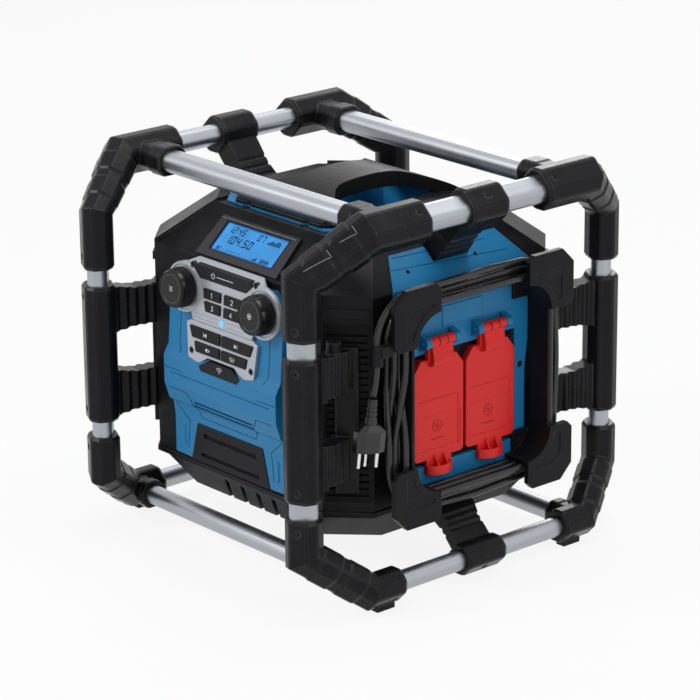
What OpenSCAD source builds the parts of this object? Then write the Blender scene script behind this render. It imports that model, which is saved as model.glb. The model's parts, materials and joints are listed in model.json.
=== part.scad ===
// Jobsite radio in a tubular roll cage: an eight-sided speaker housing hung on
// ribbed rubber arms inside a frame of aluminium tubes and moulded corners.
// Millimetres. The origin is on the floor under the centre, +Z is up,
// the control face looks along -Y and the outlet face looks along +X.

/* [Cage] */
// Half distance between the left and right posts
post_x = 156; // [148:1:162]
// Half distance between the front and back posts
post_y = 196.5; // [186.5:0.5:206.5]
// Half distance between the left and right side rails
rail_x = 186; // [182:1:190]
// Height from the lower to the upper rail axis
rail_rise = 356; // [352:1:364]
// Half distance between the upper cross rails
upper_cross_y = 116; // [110:1:122]
// Half distance between the lower cross rails
lower_cross_y = 135; // [128:1:137]
// Where a corner bends onto its rail, measured back from the post
elbow_back = 55.5; // [50:0.5:59.5]
// Height of a corner's bend on the post, from the rail axis
elbow_rise = 42; // [38:1:46]
// Thickness of the foot under each lower corner
foot_h = 4.7; // [4:0.1:6]

/* [Tubes and sleeves] */
// Width of the flat-oval tube
tube_w = 28; // [26.5:0.5:29.5]
// Thickness of the flat-oval tube
tube_t = 20; // [18:0.5:21]
// Corner radius of the flat-oval tube
tube_r = 8; // [6:0.5:9]
// Wall of every tube
tube_wall = 2; // [1.5:0.1:3]
// Diameter of the round lower rails
round_tube_d = 20; // [18:0.5:21]
// Width of a moulded sleeve
sleeve_w = 35; // [34:0.5:37]
// Thickness of a moulded sleeve
sleeve_t = 31; // [30:0.5:33]
// Clearance between a tube and its socket
socket_gap = 0.15; // [0.1:0.05:0.3]
// Height of the gap of bare tube above and below each post sleeve
bare_tube = 17; // [14:0.5:20]
// Length of a corner's sleeve down its post, from the bend
upper_post_sleeve = 56; // [50:1:60]
// Length of a lower corner's sleeve up its post, from the bend
lower_post_sleeve = 40; // [36:1:44]
// Length of an upper corner's sleeve along its side rail, from the bend
upper_rail_sleeve = 65; // [60:1:72]
// Length of a lower corner's sleeve along its side rail, from the bend
lower_rail_sleeve = 34; // [30:1:40]
// Length of the branch that holds an upper cross rail, from the side rail's axis
upper_branch = 52; // [48:1:60]
// Length of the branch that holds a lower cross rail, from the side rail's axis
lower_branch = 30; // [28:1:36]
// Length of an upper rail bracket
upper_bracket_len = 46; // [42:1:54]
// Length of a lower rail bracket
lower_bracket_len = 50; // [46:1:56]

/* [Housing] */
// Half width of the housing, left to right
body_hx = 161; // [159:0.5:162]
// Half depth of the housing, front to back
body_hy = 148; // [146:0.5:149]
// Width that each vertical corner face cuts off the plan
body_cut = 35; // [32:0.5:38]
// Height of the bottom of the base
base_z0 = 50; // [46:1:54]
// Height where the walls stand up from the base
wall_z0 = 88; // [85:1:91]
// Height where the walls turn in towards the top
wall_z1 = 303; // [301:0.5:305]
// Height of the housing's flat top
top_z = 345; // [343:0.5:347]
// How far the top draws in from the walls
top_draw = 46; // [43:0.5:48]
// How far the base draws in from the walls
base_draw = 23; // [20:0.5:26]
// Height of the top of the handle
handle_z = 375; // [372:0.5:378]
// Width of the handle's grip
handle_w = 54; // [46:1:60]
// Thickness of the handle's grip
handle_t = 16; // [14:0.5:19]
// Depth of the hand well under the handle
well_depth = 30; // [26:1:34]

/* [Controls] */
// Height of the control deck's centre
deck_z = 255; // [253:0.5:257]
// How far the control plate's face stands in front of the front wall
deck_out = 17; // [16:0.5:19]
// Lean of the control deck from the vertical
deck_lean = 4; // [3:0.5:5]
// Thickness of the control plate
plate_t = 4; // [3.5:0.1:5]
// Clearance round every key
key_gap = 0.35; // [0.3:0.05:0.5]
// How far the keys stand out of the plate
key_proud = 1.6; // [1.4:0.1:2]
// Travel of a key
key_travel = 1.2; // [0.8:0.1:1.3]
// Distance of each knob from the centre line
knob_u = 60; // [58:0.5:62]
// Height of the knobs above the deck's centre
knob_v = 20; // [18:0.5:22]
// Radius of a knob at its base
knob_r = 20; // [18:0.5:21]
// Length of a knob
knob_len = 16; // [14:0.5:18]
// Radius of a knob's spindle
spindle_r = 3; // [2.5:0.25:4]
// Travel of a knob when it is pressed
knob_travel = 1; // [0.6:0.1:1.2]

/* [Outlets] */
// Width of an outlet cover
cover_w = 64; // [60:0.5:65]
// Height of an outlet cover's plate
cover_h = 102; // [98:1:104]
// Thickness of an outlet cover
cover_t = 4.5; // [3.5:0.5:5]
// Distance of each cover's centre from the middle
cover_y = 34; // [33.5:0.25:35]
// Height of the covers' hinge axis
hinge_z = 247; // [246:0.5:249]
// Distance of the covers' hinge axis in front of the outlet face
hinge_out = 9; // [8.5:0.25:10]
// Radius of a hinge pin
pin_r = 2; // [1.5:0.1:2.5]
// Radial clearance round a hinge pin
pin_gap = 0.06; // [0.03:0.01:0.1]
// Radius of a socket recess
socket_r = 19.5; // [19:0.25:20.5]
// Depth of a socket recess
socket_depth = 15; // [13:0.5:17]

/* [Cord storage] */
// Half width of the cord guides, front to back
guide_hy = 117; // [114:1:120]
// Width of a hook plate
hook_w = 59; // [54:1:62]
// Thickness of a hook plate
hook_t = 6; // [5:0.5:7]
// Distance of the hook plates in front of the outlet face
hook_out = 30; // [29:0.5:31]
// Diameter of the mains cord
cord_d = 7; // [6.5:0.5:7]

/* [Media bay] */
// Width of the media bay's door
door_w = 120; // [110:1:124]
// Height of the media bay's door
door_h = 92; // [86:1:96]
// Thickness of the media bay's door
door_t = 4; // [3:0.5:5]
// Depth of the media bay
bay_depth = 46; // [40:1:50]

/* [Hidden] */

$fn = 48;
eps = 0.01;

// ---- vectors and swept mouldings ----
function unit(v) = v / norm(v);
// v turned about the axis a by the angle t
function turned(v, a, t) = v * cos(t) + cross(a, v) * sin(t) + a * (a * v) * (1 - cos(t));
// v carried from the direction t0 to the direction t1 without twist
function carried(v, t0, t1) =
  let (c = cross(t0, t1)) norm(c) < 1e-6 ? v : turned(v, unit(c), acos(t0 * t1));
// an eight-sided section w wide and t thick, its corners cut by c and softened by s
function octagon(w, t, c, s) = let (
  h = w / 2,
  k = t / 2,
  p = [[h - c, -k], [h, c - k], [h, k - c], [h - c, k], [c - h, k], [-h, k - c], [-h, c - k], [c - h, -k]]
) [for (i = [0:7]) each [
  p[i] + s * unit(p[(i + 7) % 8] - p[i]),
  p[i] + s * unit(p[(i + 1) % 8] - p[i])
]];
// the sideways direction of each stretch of a path, from the first one
function sides(path, u, i = 0) = i >= len(path) - 2 ? [u] : let (
  t0 = unit(path[i + 1] - path[i]),
  t1 = unit(path[i + 2] - path[i + 1])
) concat([u], sides(path, carried(u, t0, t1), i + 1));

// a section swept along a path, mitred at each bend; sizes scales it at each point
module swept(path, u, section, sizes) {
  n = len(path);
  m = len(section);
  us = sides(path, u);
  rings = [for (i = [0:n - 1]) let (
    j = max(0, i - 1),
    t = unit(path[j + 1] - path[j]),
    after = i == n - 1 ? t : unit(path[i + 1] - path[i]),
    cut = unit(t + after)
  ) each [for (q = section) let (
    off = sizes[i] * (q.x * us[j] + q.y * cross(t, us[j]))
  ) path[i] + off - t * (off * cut) / (t * cut)]];
  walls = [for (i = [0:n - 2], k = [0:m - 1]) let (a = i * m + k, b = i * m + (k + 1) % m)
    each [[a, a + m, b], [b, a + m, b + m]]];
  polyhedron(rings, concat(walls, [[for (k = [0:m - 1]) k], [for (k = [m - 1:-1:0]) (n - 1) * m + k]]));
}
// an eight-sided outline in plan, hx by hy from the centre, with its corners cut by c
function plan8(hx, hy, c) = [[hx - c, -hy], [hx, c - hy], [hx, hy - c], [hx - c, hy],
  [c - hx, hy], [-hx, hy - c], [-hx, c - hy], [c - hx, -hy]];
// a solid between two eight-sided outlines at the heights z0 and z1
module frustum8(z0, p0, z1, p1) {
  points = concat([for (q = p0) [q.x, q.y, z0]], [for (q = p1) [q.x, q.y, z1]]);
  walls = [for (k = [0:7]) [k, k + 8, (k + 1) % 8 + 8, (k + 1) % 8]];
  polyhedron(points, concat(walls, [[for (k = [0:7]) k], [for (k = [7:-1:0]) k + 8]]));
}
module flat_oval(w, t, r) {
  square([w - 2 * r, t], center = true);
  square([w, t - 2 * r], center = true);
  for (x = [-1, 1], y = [-1, 1]) translate([x * (w / 2 - r), y * (t / 2 - r)]) circle(r);
}
// copies a front right part to the corner on side sx and end sy
module to_corner(sx, sy) {
  mirror([sx < 0 ? 1 : 0, 0, 0]) mirror([0, sy > 0 ? 1 : 0, 0]) children();
}

// ---- cage ----
rail_flat_tilt = 45;                      // lean of the rail sleeves' wide face above the horizontal
rail_tube_tilt = 62;                      // lean of the side rails' own wide face
post_tube_turn = 45;                      // turn of the post tubes, whose flat sides face the diagonals
sleeve_cut = 8.5;                         // chamfer of the sleeves' section
sleeve_soft = 1.6;                        // softening of the sleeves' edges
upper_size = 1.18;                        // an upper rail sleeve's section against a post sleeve's
lower_size = 1;                           // a lower rail sleeve's section against a post sleeve's
rail_z0 = lower_size * (sleeve_w / 2 + sleeve_t / 2 - sleeve_cut) / sqrt(2) + foot_h;
rail_z1 = rail_z0 + rail_rise;
elbow_y = post_y - elbow_back;
limb = unit([rail_x - post_x, elbow_back, elbow_rise]);
rail_side = [sin(rail_flat_tilt), 0, -cos(rail_flat_tilt)];
post_side = carried(carried(rail_side, [0, 1, 0], limb), limb, [0, 0, 1]);
post_turn = atan2(post_side.y, post_side.x);
post_gap_low = rail_z0 + elbow_rise + lower_post_sleeve;
post_gap_high = rail_z1 - elbow_rise - upper_post_sleeve;
post_sleeve_z0 = post_gap_low + bare_tube;
post_sleeve_z1 = post_gap_high - bare_tube;
post_socket = 34;                         // depth of a post tube in a corner's socket
rail_socket = 26;                         // depth of a side rail in a corner's socket
upper_cross_socket = 30;                  // depth of an upper cross rail in its branch
lower_cross_socket = 18;                  // depth of a lower cross rail in its branch
end_bevel = 3;                            // bevel at a sleeve's end
sleeve_section = octagon(sleeve_w, sleeve_t, sleeve_cut, sleeve_soft);

module flat_tube(length, gap = 0, solid_bar = false) {
  linear_extrude(length) difference() {
    flat_oval(tube_w + 2 * gap, tube_t + 2 * gap, tube_r + gap);
    if (!solid_bar) flat_oval(tube_w - 2 * tube_wall, tube_t - 2 * tube_wall, tube_r - tube_wall);
  }
}
// stands a child that points up on the front right post
module on_post(z) {
  translate([post_x, -post_y, z]) rotate([0, 0, post_tube_turn]) children();
}
// lays a child that points up along the right side rail, from y on; up turns it over for the lower rail
module on_rail(y, z, up = 1) {
  translate([rail_x, y, z]) rotate([0, 90 - up * rail_tube_tilt, 0]) rotate([-90, 0, 0]) children();
}

module post_tubes() color("silver") {
  z0 = post_gap_low - post_socket;
  z1 = post_gap_high + post_socket;
  for (sx = [-1, 1], sy = [-1, 1]) to_corner(sx, sy) on_post(z0) flat_tube(z1 - z0);
}
module side_rails() color("silver") {
  for (sx = [-1, 1]) to_corner(sx, -1) {
    y1 = elbow_y - upper_rail_sleeve + rail_socket;
    on_rail(-y1, rail_z1) flat_tube(2 * y1);
    y0 = elbow_y - lower_rail_sleeve + rail_socket;
    on_rail(-y0, rail_z0, -1) round_tube(2 * y0);
  }
}
module round_tube(length) {
  difference() {
    cylinder(h = length, d = round_tube_d);
    translate([0, 0, -1]) cylinder(h = length + 2, d = round_tube_d - 2 * tube_wall);
  }
}
// what a side rail takes out of its socket
module rail_bar(length, round_rails) {
  if (round_rails) cylinder(h = length, d = round_tube_d + 2 * socket_gap);
  else flat_tube(length, socket_gap, true);
}
cross_tube_w = 26;                        // width of the upper cross rails, which lie flat
module cross_rails() color("silver") {
  upper_half = rail_x - upper_branch + upper_cross_socket;
  lower_half = rail_x - lower_branch + lower_cross_socket;
  for (sy = [-1, 1]) {
    translate([-upper_half, sy * upper_cross_y, rail_z1]) rotate([0, 90, 0]) rotate(90)
      linear_extrude(2 * upper_half) difference() {
        flat_oval(cross_tube_w, tube_t, tube_r);
        flat_oval(cross_tube_w - 2 * tube_wall, tube_t - 2 * tube_wall, tube_r - tube_wall);
      }
    translate([-lower_half, sy * lower_cross_y, rail_z0]) rotate([0, 90, 0]) round_tube(2 * lower_half);
  }
}

// a bent corner moulding, drawn about the height of its rail axis with its post below
module corner(post_len, rail_len, rail_size, cross_y, reach, hold, round_rails) {
  foot = [post_x, -post_y, -elbow_rise];
  bend = [rail_x, -elbow_y, 0];
  band = 1.06;
  steps = [0.14, 0.17, 0.42, 0.45, 0.55, 0.58, 0.83, 0.86];
  path = concat(
    [foot - [0, 0, post_len], foot - [0, 0, post_len - end_bevel], foot],
    [for (f = steps) foot + f * (bend - foot)],
    [bend, bend + [0, rail_len - end_bevel, 0], bend + [0, rail_len, 0]]
  );
  sizes = concat(
    [0.9, 1, 1],
    [for (i = [0:7]) (1 + (rail_size - 1) * steps[i]) * (i % 4 == 1 || i % 4 == 2 ? band : 1)],
    [rail_size, rail_size, 0.9 * rail_size]
  );
  difference() {
    union() {
      swept(path, post_side, sleeve_section, sizes);
      translate([rail_x, -cross_y, 0]) branch(reach, round_rails);
    }
    translate([post_x, -post_y, -elbow_rise - post_len - 1]) rotate([0, 0, post_tube_turn])
      flat_tube(post_socket + 1 + socket_gap, socket_gap, true);
    translate([rail_x, rail_len - elbow_y + 1, 0]) mirror([0, 1, 0]) rotate([0, 90 - rail_tube_tilt, 0])
      rotate([-90, 0, 0]) rail_bar(rail_socket + 1 + socket_gap, round_rails);
    translate([rail_x - reach - 1, -cross_y, 0]) rotate([0, 90, 0]) rotate(90)
      linear_extrude(hold + 1 + socket_gap)
        if (round_rails) circle(d = round_tube_d + 2 * socket_gap);
        else flat_oval(cross_tube_w + 2 * socket_gap, tube_t + 2 * socket_gap, tube_r + socket_gap);
    for (p = corner_screws(post_len, rail_len, rail_size)) translate(p[0]) rotate(p[1]) screw_hole();
  }
}
// the arm of a corner that holds a cross rail, with a thicker collar at its mouth
module branch(reach, round_rails) {
  section = round_rails ? octagon(29, 29, 8, 1.5) : octagon(35.5, 30, 7.5, 1.5);
  swept([for (x = [-reach, 2.5 - reach, -0.66 * reach, -0.58 * reach, -6]) [x, 0, 0]],
    [0, 1, 0], section, [0.93, 1, 1, 0.93, 0.93]);
}
screw_r = 3.2;                            // radius of a screw's head
screw_sink = 0.8;                         // how deep a screw's head lies below its surface
screw_len = 3;                            // length of a modelled screw
screw_back = 12;                          // distance of a screw from the end of its sleeve
// a screw's hole, pointing down from the surface at z = 0
module screw_hole(gap = 0.2) {
  translate([0, 0, -screw_sink - screw_len])
    cylinder(h = screw_sink + screw_len + 2, r = screw_r + gap, $fn = 24);
}
module screw() {
  translate([0, 0, -screw_sink - screw_len]) difference() {
    cylinder(h = screw_len, r = screw_r, $fn = 24);
    translate([0, 0, screw_len - 1.6]) cylinder(h = 2, r = 1.6, $fn = 6);
  }
}
// the screws of a corner, as places and turns: one on the post sleeve, one on the rail sleeve
function corner_screws(post_len, rail_len, rail_size) = [
  [[post_x, -post_y, -elbow_rise - post_len + screw_back] + sleeve_t / 2 * cross(post_side, [0, 0, 1]),
    [90, 0, post_turn]],
  [[rail_x, rail_len - elbow_y - screw_back, 0] + rail_size * sleeve_t / 2 * cross(rail_side, [0, 1, 0]),
    [0, 90 - rail_flat_tilt, 0]]
];
module upper_corner(sx, sy) {
  color("#2b2b2e") to_corner(sx, sy) translate([0, 0, rail_z1])
    corner(upper_post_sleeve, upper_rail_sleeve, upper_size, upper_cross_y,
      upper_branch, upper_cross_socket, false);
}
module lower_corner(sx, sy) {
  facet = 2 * lower_size * sleeve_cut / sqrt(2) * 0.9;
  color("#2b2b2e") to_corner(sx, sy) {
    translate([0, 0, rail_z0]) mirror([0, 0, 1])
      corner(lower_post_sleeve, lower_rail_sleeve, lower_size, lower_cross_y,
        lower_branch, lower_cross_socket, true);
    translate([rail_x - facet / 2, end_bevel + 2 - elbow_y, 0])
      cube([facet, lower_rail_sleeve - 4 * end_bevel, foot_h + 1]);
  }
}
module upper_corner_front_left() upper_corner(-1, -1);
module upper_corner_front_right() upper_corner(1, -1);
module upper_corner_back_right() upper_corner(1, 1);
module upper_corner_back_left() upper_corner(-1, 1);
module lower_corner_front_left() lower_corner(-1, -1);
module lower_corner_front_right() lower_corner(1, -1);
module lower_corner_back_right() lower_corner(1, 1);
module lower_corner_back_left() lower_corner(-1, 1);

// ---- post sleeves with their ribbed arms ----
face_mid = [body_hx - body_cut / 2, body_cut / 2 - body_hy];   // middle of a vertical corner face
arm_dir = unit(face_mid - [post_x, -post_y]);
arm_turn = atan2(arm_dir.y, arm_dir.x);
arm_w = 20;                               // width of an arm over its ribs
arm_h = 52;                               // height of an arm at its post
arm_drop = 88;                            // how far a lower arm lies under the upper one
rib_n = 6;                                // ribs along an arm
rib_d = 2.6;                              // depth of the grooves between the ribs
foot_plate_t = 6;                         // thickness of the plate on the housing
foot_plate_w = 22;                        // width of the plate on the housing
foot_plate_h = 146;                       // height of the plate on the housing
arm_len = norm(face_mid - [post_x, -post_y]) + foot_plate_t;
// ribbed outline of an arm, from inside the sleeve to the plate
function arm_side(s) = [for (i = [0:2 * rib_n - 1]) let (x = 14 + (arm_len - 16) * (i / (2 * rib_n - 1)))
  each [[x, s * (arm_w / 2 - (i % 2) * rib_d)], [x + 1.4, s * (arm_w / 2 - (i % 2) * rib_d)]]];
// an arm seen from its side, from the post to the housing, under the height of its top
arm_profile = [[0, 0], [arm_len * 0.5, -7], [arm_len + 2, -7], [arm_len + 2, -47],
  [arm_len * 0.45, -47], [arm_len * 0.3, -49], [0, -arm_h]];
module arm(z) {
  translate([post_x, -post_y, z]) rotate([0, 0, arm_turn]) intersection() {
    translate([0, 0, -arm_h]) linear_extrude(arm_h)
      polygon(concat([[0, -arm_w / 2]], arm_side(-1), reversed(arm_side(1)), [[0, arm_w / 2]]));
    rotate([90, 0, 0]) linear_extrude(2 * arm_w, center = true) polygon(arm_profile);
  }
}
function reversed(v) = [for (i = [len(v) - 1:-1:0]) v[i]];
module post_sleeve(sx, sy) {
  n = cross(post_side, [0, 0, 1]);
  color("#2b2b2e") to_corner(sx, sy) difference() {
    union() {
      translate([post_x, -post_y, 0]) swept(
        [[0, 0, post_sleeve_z0], [0, 0, post_sleeve_z0 + end_bevel],
          [0, 0, post_sleeve_z1 - end_bevel], [0, 0, post_sleeve_z1]],
        post_side, sleeve_section, [0.92, 1.02, 1.02, 0.92]);
      arm(post_sleeve_z1 - 1);
      arm(post_sleeve_z1 - 1 - arm_drop);
      // plate on the housing's corner face
      translate([face_mid.x, face_mid.y, post_sleeve_z1 - 7 - foot_plate_h]) rotate([0, 0, 45])
        translate([-foot_plate_w / 2, -foot_plate_t, 0])
          cube([foot_plate_w, foot_plate_t, foot_plate_h]);
      // upright pin on the front right arm
      if (sx > 0 && sy < 0) translate([face_mid.x, face_mid.y, post_sleeve_z1 - 12])
        rotate([0, 0, arm_turn]) translate([-20, 0, 0]) cylinder(h = 15, r = 7.5);
    }
    // tube socket
    on_post(post_sleeve_z0 - 10) flat_tube(post_sleeve_z1 - post_sleeve_z0 + 20, socket_gap, true);
    // everything behind the housing's corner face
    translate([face_mid.x, face_mid.y, 0]) rotate([0, 0, 45]) translate([-100, 0, 0])
      cube([200, 60, top_z]);
    for (z = [post_sleeve_z0 + screw_back, post_sleeve_z1 - screw_back])
      translate([post_x, -post_y, z] + sleeve_t * 1.02 / 2 * n) rotate([90, 0, post_turn])
        screw_hole();
  }
}
module post_sleeve_front_left() post_sleeve(-1, -1);
module post_sleeve_front_right() post_sleeve(1, -1);
module post_sleeve_back_right() post_sleeve(1, 1);
module post_sleeve_back_left() post_sleeve(-1, 1);

// ---- rail brackets with their straps ----
upper_strap_t = 22;                       // thickness of an upper strap
lower_strap_t = 14;                       // thickness of a lower strap
upper_bracket_size = 1.12;                // an upper bracket's section against a post sleeve's
lower_bracket_size = 0.92;                // a lower bracket's section against a post sleeve's
// point on the housing's right slope, f of the way up from the wall
function slope_at(f) = [body_hx - f * top_draw, 0, wall_z1 + f * (top_z - wall_z1)];
// point on the base's right slope, f of the way up from the bottom
function base_at(f) = [body_hx - (1 - f) * base_draw, 0, base_z0 + f * (wall_z0 - base_z0)];
// a strap t thick from its rail at p to the housing at q, w0 wide at the rail and w1 at the housing
module strap(p, q, w0, w1, waist, t) {
  d = q - p;
  len = norm(d) + t;
  translate(p) rotate([0, atan2(d.x, d.z), 0]) difference() {
    rotate([90, 0, 90]) translate([0, 0, -t / 2]) linear_extrude(t) polygon([
      [-w0 / 2, 0], [w0 / 2, 0], [w0 / 2, len * 0.25], [waist / 2, len * 0.5],
      [w1 / 2, len * 0.68], [w1 / 2, len], [-w1 / 2, len], [-w1 / 2, len * 0.68],
      [-waist / 2, len * 0.5], [-w0 / 2, len * 0.25]
    ]);
    // grooves across the strap
    for (f = [0.42, 0.52, 0.62], s = [-1, 1])
      translate([s * t / 2, 0, len * f]) rotate([90, 0, 0])
        cylinder(h = w0 + 2, r = 1.8, center = true, $fn = 16);
  }
}
module bracket(z, up, size, half, w0, w1, waist, q, t) {
  difference() {
    union() {
      translate([rail_x, 0, z]) swept(
        [for (y = [-half, end_bevel - half, half - end_bevel, half]) [0, y, 0]],
        [sin(rail_flat_tilt), 0, -up * cos(rail_flat_tilt)],
        sleeve_section, [0.92 * size, size, size, 0.92 * size]);
      strap([rail_x, 0, z], q, w0, w1, waist, t);
    }
    on_rail(-half - 1, z, up) rail_bar(2 * half + 2, up < 0);
    translate(bracket_screw(z, up, size)) rotate([0, 90 - up * rail_flat_tilt, 0]) screw_hole();
  }
}
// place of the screw in a bracket's outer face
function bracket_screw(z, up, size) = [rail_x, 0, z]
  + size * sleeve_t / 2 * [cos(rail_flat_tilt), 0, up * sin(rail_flat_tilt)];
module upper_bracket(sx) color("#2b2b2e") to_corner(sx, -1) difference() {
  bracket(rail_z1, 1, upper_bracket_size, upper_bracket_len / 2, upper_bracket_len - 3 * end_bevel,
    42, 35, slope_at(0.5), upper_strap_t);
  // the housing's slope
  rotate([90, 0, 0]) linear_extrude(200, center = true) polygon([
    [0, wall_z1 - 40], [body_hx, wall_z1 - 40], [body_hx, wall_z1],
    [body_hx - top_draw, top_z], [0, top_z]
  ]);
}
module lower_bracket(sx) color("#2b2b2e") to_corner(sx, -1) difference() {
  bracket(rail_z0, -1, lower_bracket_size, lower_bracket_len / 2, lower_bracket_len - 3 * end_bevel,
    46, 40, base_at(0.35), lower_strap_t);
  rotate([90, 0, 0]) linear_extrude(200, center = true) polygon([[0, base_z0 - 40], [0, wall_z0 + 40],
    [body_hx + base_draw * 40 / (wall_z0 - base_z0), wall_z0 + 40],
    [body_hx - base_draw, base_z0], [body_hx - base_draw, base_z0 - 40]]);
}
module upper_bracket_left() upper_bracket(-1);
module upper_bracket_right() upper_bracket(1);
module lower_bracket_left() lower_bracket(-1);
module lower_bracket_right() lower_bracket(1);

module cage_screws() color("#151517") {
  n = cross(post_side, [0, 0, 1]);
  for (sx = [-1, 1]) {
    for (sy = [-1, 1]) to_corner(sx, sy) {
      translate([0, 0, rail_z1])
        for (p = corner_screws(upper_post_sleeve, upper_rail_sleeve, upper_size))
          translate(p[0]) rotate(p[1]) screw();
      translate([0, 0, rail_z0]) mirror([0, 0, 1])
        for (p = corner_screws(lower_post_sleeve, lower_rail_sleeve, lower_size))
          translate(p[0]) rotate(p[1]) screw();
      for (z = [post_sleeve_z0 + screw_back, post_sleeve_z1 - screw_back])
        translate([post_x, -post_y, z] + sleeve_t * 1.02 / 2 * n) rotate([90, 0, post_turn]) screw();
    }
    to_corner(sx, -1) {
      translate(bracket_screw(rail_z1, 1, upper_bracket_size))
        rotate([0, 90 - rail_flat_tilt, 0]) screw();
      translate(bracket_screw(rail_z0, -1, lower_bracket_size))
        rotate([0, 90 + rail_flat_tilt, 0]) screw();
    }
  }
}

// ---- housing ----
panel_t = 10;                             // depth of the recess behind each wall panel
front_hx = 86;                            // half width of the front panel
front_z0 = 92;                            // bottom of the front panel
front_recess = 12;                        // depth of the recess behind the front panel
outlet_hy = 88;                           // half width of the outlet panel
outlet_z0 = 84;                           // bottom of the outlet panel
panel_gap = 0.15;                         // clearance of a wall panel in its recess
plan_wall = plan8(body_hx, body_hy, body_cut);
top_hx = body_hx - top_draw;
top_hy = body_hy - top_draw;
top_cut = 28;                             // width that each corner cuts off the flat top
plan_top = plan8(top_hx, top_hy, top_cut);
plan_base = plan8(body_hx - base_draw, body_hy - base_draw, 42);
well_hx = 56;                             // half width of the hand well
well_hy = 78;                             // half depth of the hand well
bar_z = 288;                              // height of the moulded bar on each corner face

module housing() color("#26262a") difference() {
  union() {
    frustum8(wall_z0, plan_wall, wall_z1, plan_wall);
    translate([0, 0, -eps]) frustum8(wall_z1, plan_wall, top_z, plan_top);
    // bars across the corner faces
    for (sx = [-1, 1], sy = [-1, 1]) to_corner(sx, sy) translate([face_mid.x, face_mid.y, bar_z])
      rotate([0, 0, 45]) translate([-22, -2.5, -4]) cube([44, 6, 8]);
    // raised corner blocks of the top
    for (sx = [-1, 1], sy = [-1, 1]) to_corner(sx, sy) corner_block();
  }
  // recesses behind the wall panels
  front_recess_cut();
  side_recesses();
  translate([0, body_hy - panel_t, 0]) rotate([-90, 0, 0]) mirror([0, 1, 0])
    linear_extrude(panel_t + 60) offset_outline(back_outline(), panel_gap);
  // media bay behind the back panel
  translate([-door_w / 2 + 4, body_hy - bay_depth, bay_z0 + 4])
    cube([door_w - 8, bay_depth, door_h - 8]);
  // hand well
  translate([0, 0, top_z - well_depth - panel_gap]) linear_extrude(well_depth + 20)
    polygon(plan8(well_hx + panel_gap, well_hy + panel_gap, 20));
  // pockets of the outlet block, the keys and the grilles
  translate([body_hx - panel_t - outlet_block_depth - panel_gap, -block_hy - panel_gap,
    block_z0 - panel_gap])
    cube([outlet_block_depth + 40, 2 * (block_hy + panel_gap), block_z1 - block_z0 + 2 * panel_gap]);
  for (sx = [-1, 1], sy = [-1, 1]) to_corner(sx, sy) grille_pockets(panel_gap);
  for (x = [-1, 1], y = [-1, 1]) translate([x * 44, y * 98, top_z]) screw_hole();
  guide_screw_holes();
  // room for the latch behind the back panel
  translate([-latch_bar / 2 + 2.5, body_hy - 20, bay_z0 + door_h - 4.5]) cube([latch_bar - 5, 20, 11]);
}
// recesses of the outlet panel and of the side panel
module side_recesses() {
  for (s = [-1, 1]) to_corner(s, -1) translate([body_hx - panel_t, 0, 0]) rotate([90, 0, 90])
    linear_extrude(panel_t + 60) offset_outline(outlet_outline(), panel_gap);
}
// raised block on the slope above each corner face
module corner_block() {
  a = [body_hx - body_cut, -body_hy];
  b = [body_hx, body_cut - body_hy];
  c = [top_hx - top_cut, -top_hy];
  d = [top_hx, top_cut - top_hy];
  up = 3;
  in = 4;
  hull() {
    translate([0, 0, wall_z1 - 12]) linear_extrude(eps) polygon([a, b, b - [30, 0], a + [0, 30]]);
    translate([0, 0, wall_z1 + up]) linear_extrude(eps) polygon([a, b, b - [30, 0], a + [0, 30]]);
    translate([0, 0, top_z + up]) linear_extrude(eps)
      polygon([c + [-in, 0], d + [0, in], d + [-14, in], c + [-in, 14]]);
    translate([0, 0, top_z - 12]) linear_extrude(eps)
      polygon([c + [-in, 0], d + [0, in], d + [-14, in], c + [-in, 14]]);
  }
}
module offset_outline(p, g) offset(delta = g) polygon(p);
function mirrored(p) = concat(p, [for (i = [len(p) - 1:-1:0]) [-p[i].x, p[i].y]]);
// outline of the outlet panel and of the side panel, seen from outside, with its slope left off
function outlet_outline() = mirrored([[52, outlet_z0], [outlet_hy - 4, 116], [outlet_hy - 4, 190],
  [outlet_hy, 220], [outlet_hy, wall_z1]]);
function back_outline() = mirrored([[60, 96], [86, 122], [86, wall_z1 - 6]]);

module base() color("#232326") difference() {
  union() {
    frustum8(base_z0, plan_base, wall_z0, plan_wall);
    // skirt lip round the top of the base
    frustum8(wall_z0 - 5, plan8(body_hx + 1.5, body_hy + 1.5, body_cut), wall_z0,
      plan8(body_hx + 1.5, body_hy + 1.5, body_cut));
  }
  // slots through the skirt, front and back
  for (s = [-1, 1], x = [-60:24:60]) translate([x, s * (body_hy - base_draw * 0.55), 0]) rotate([0, 22, 0])
    translate([-3, -14, 20]) cube([6, 28, 60]);
  side_recesses();
  // bass port in the bottom
  translate([0, 0, base_z0 - 1]) cylinder(h = 13, r = 62);
  for (sx = [-1, 1], sy = [-1, 1]) to_corner(sx, sy) translate([face_mid.x, face_mid.y, base_z0 - 20])
    rotate([0, 0, 45]) translate([-60, -40, 0]) mirror([0, 1, 0]) cube([120, 60, 4]);
}

well_wall = 2.5;                          // wall of the hand well's liner
cover_lip = 2;                            // height of the top cover's plate over the housing
module top_cover() color("#1f74b4") difference() {
  union() {
    translate([0, 0, top_z]) linear_extrude(cover_lip) difference() {
      polygon(plan8(top_hx - 6, top_hy - 6, top_cut + 7));
      for (x = [-1, 1], y = [-1, 1]) translate([x * 44, y * 98]) circle(r = screw_r + 3);
    }
    translate([0, 0, top_z - well_depth]) linear_extrude(well_depth)
      polygon(plan8(well_hx, well_hy, 20));
  }
  translate([0, 0, top_z - well_depth + well_wall]) linear_extrude(well_depth + 20)
    polygon(plan8(well_hx - well_wall, well_hy - well_wall, 19));
}

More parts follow.
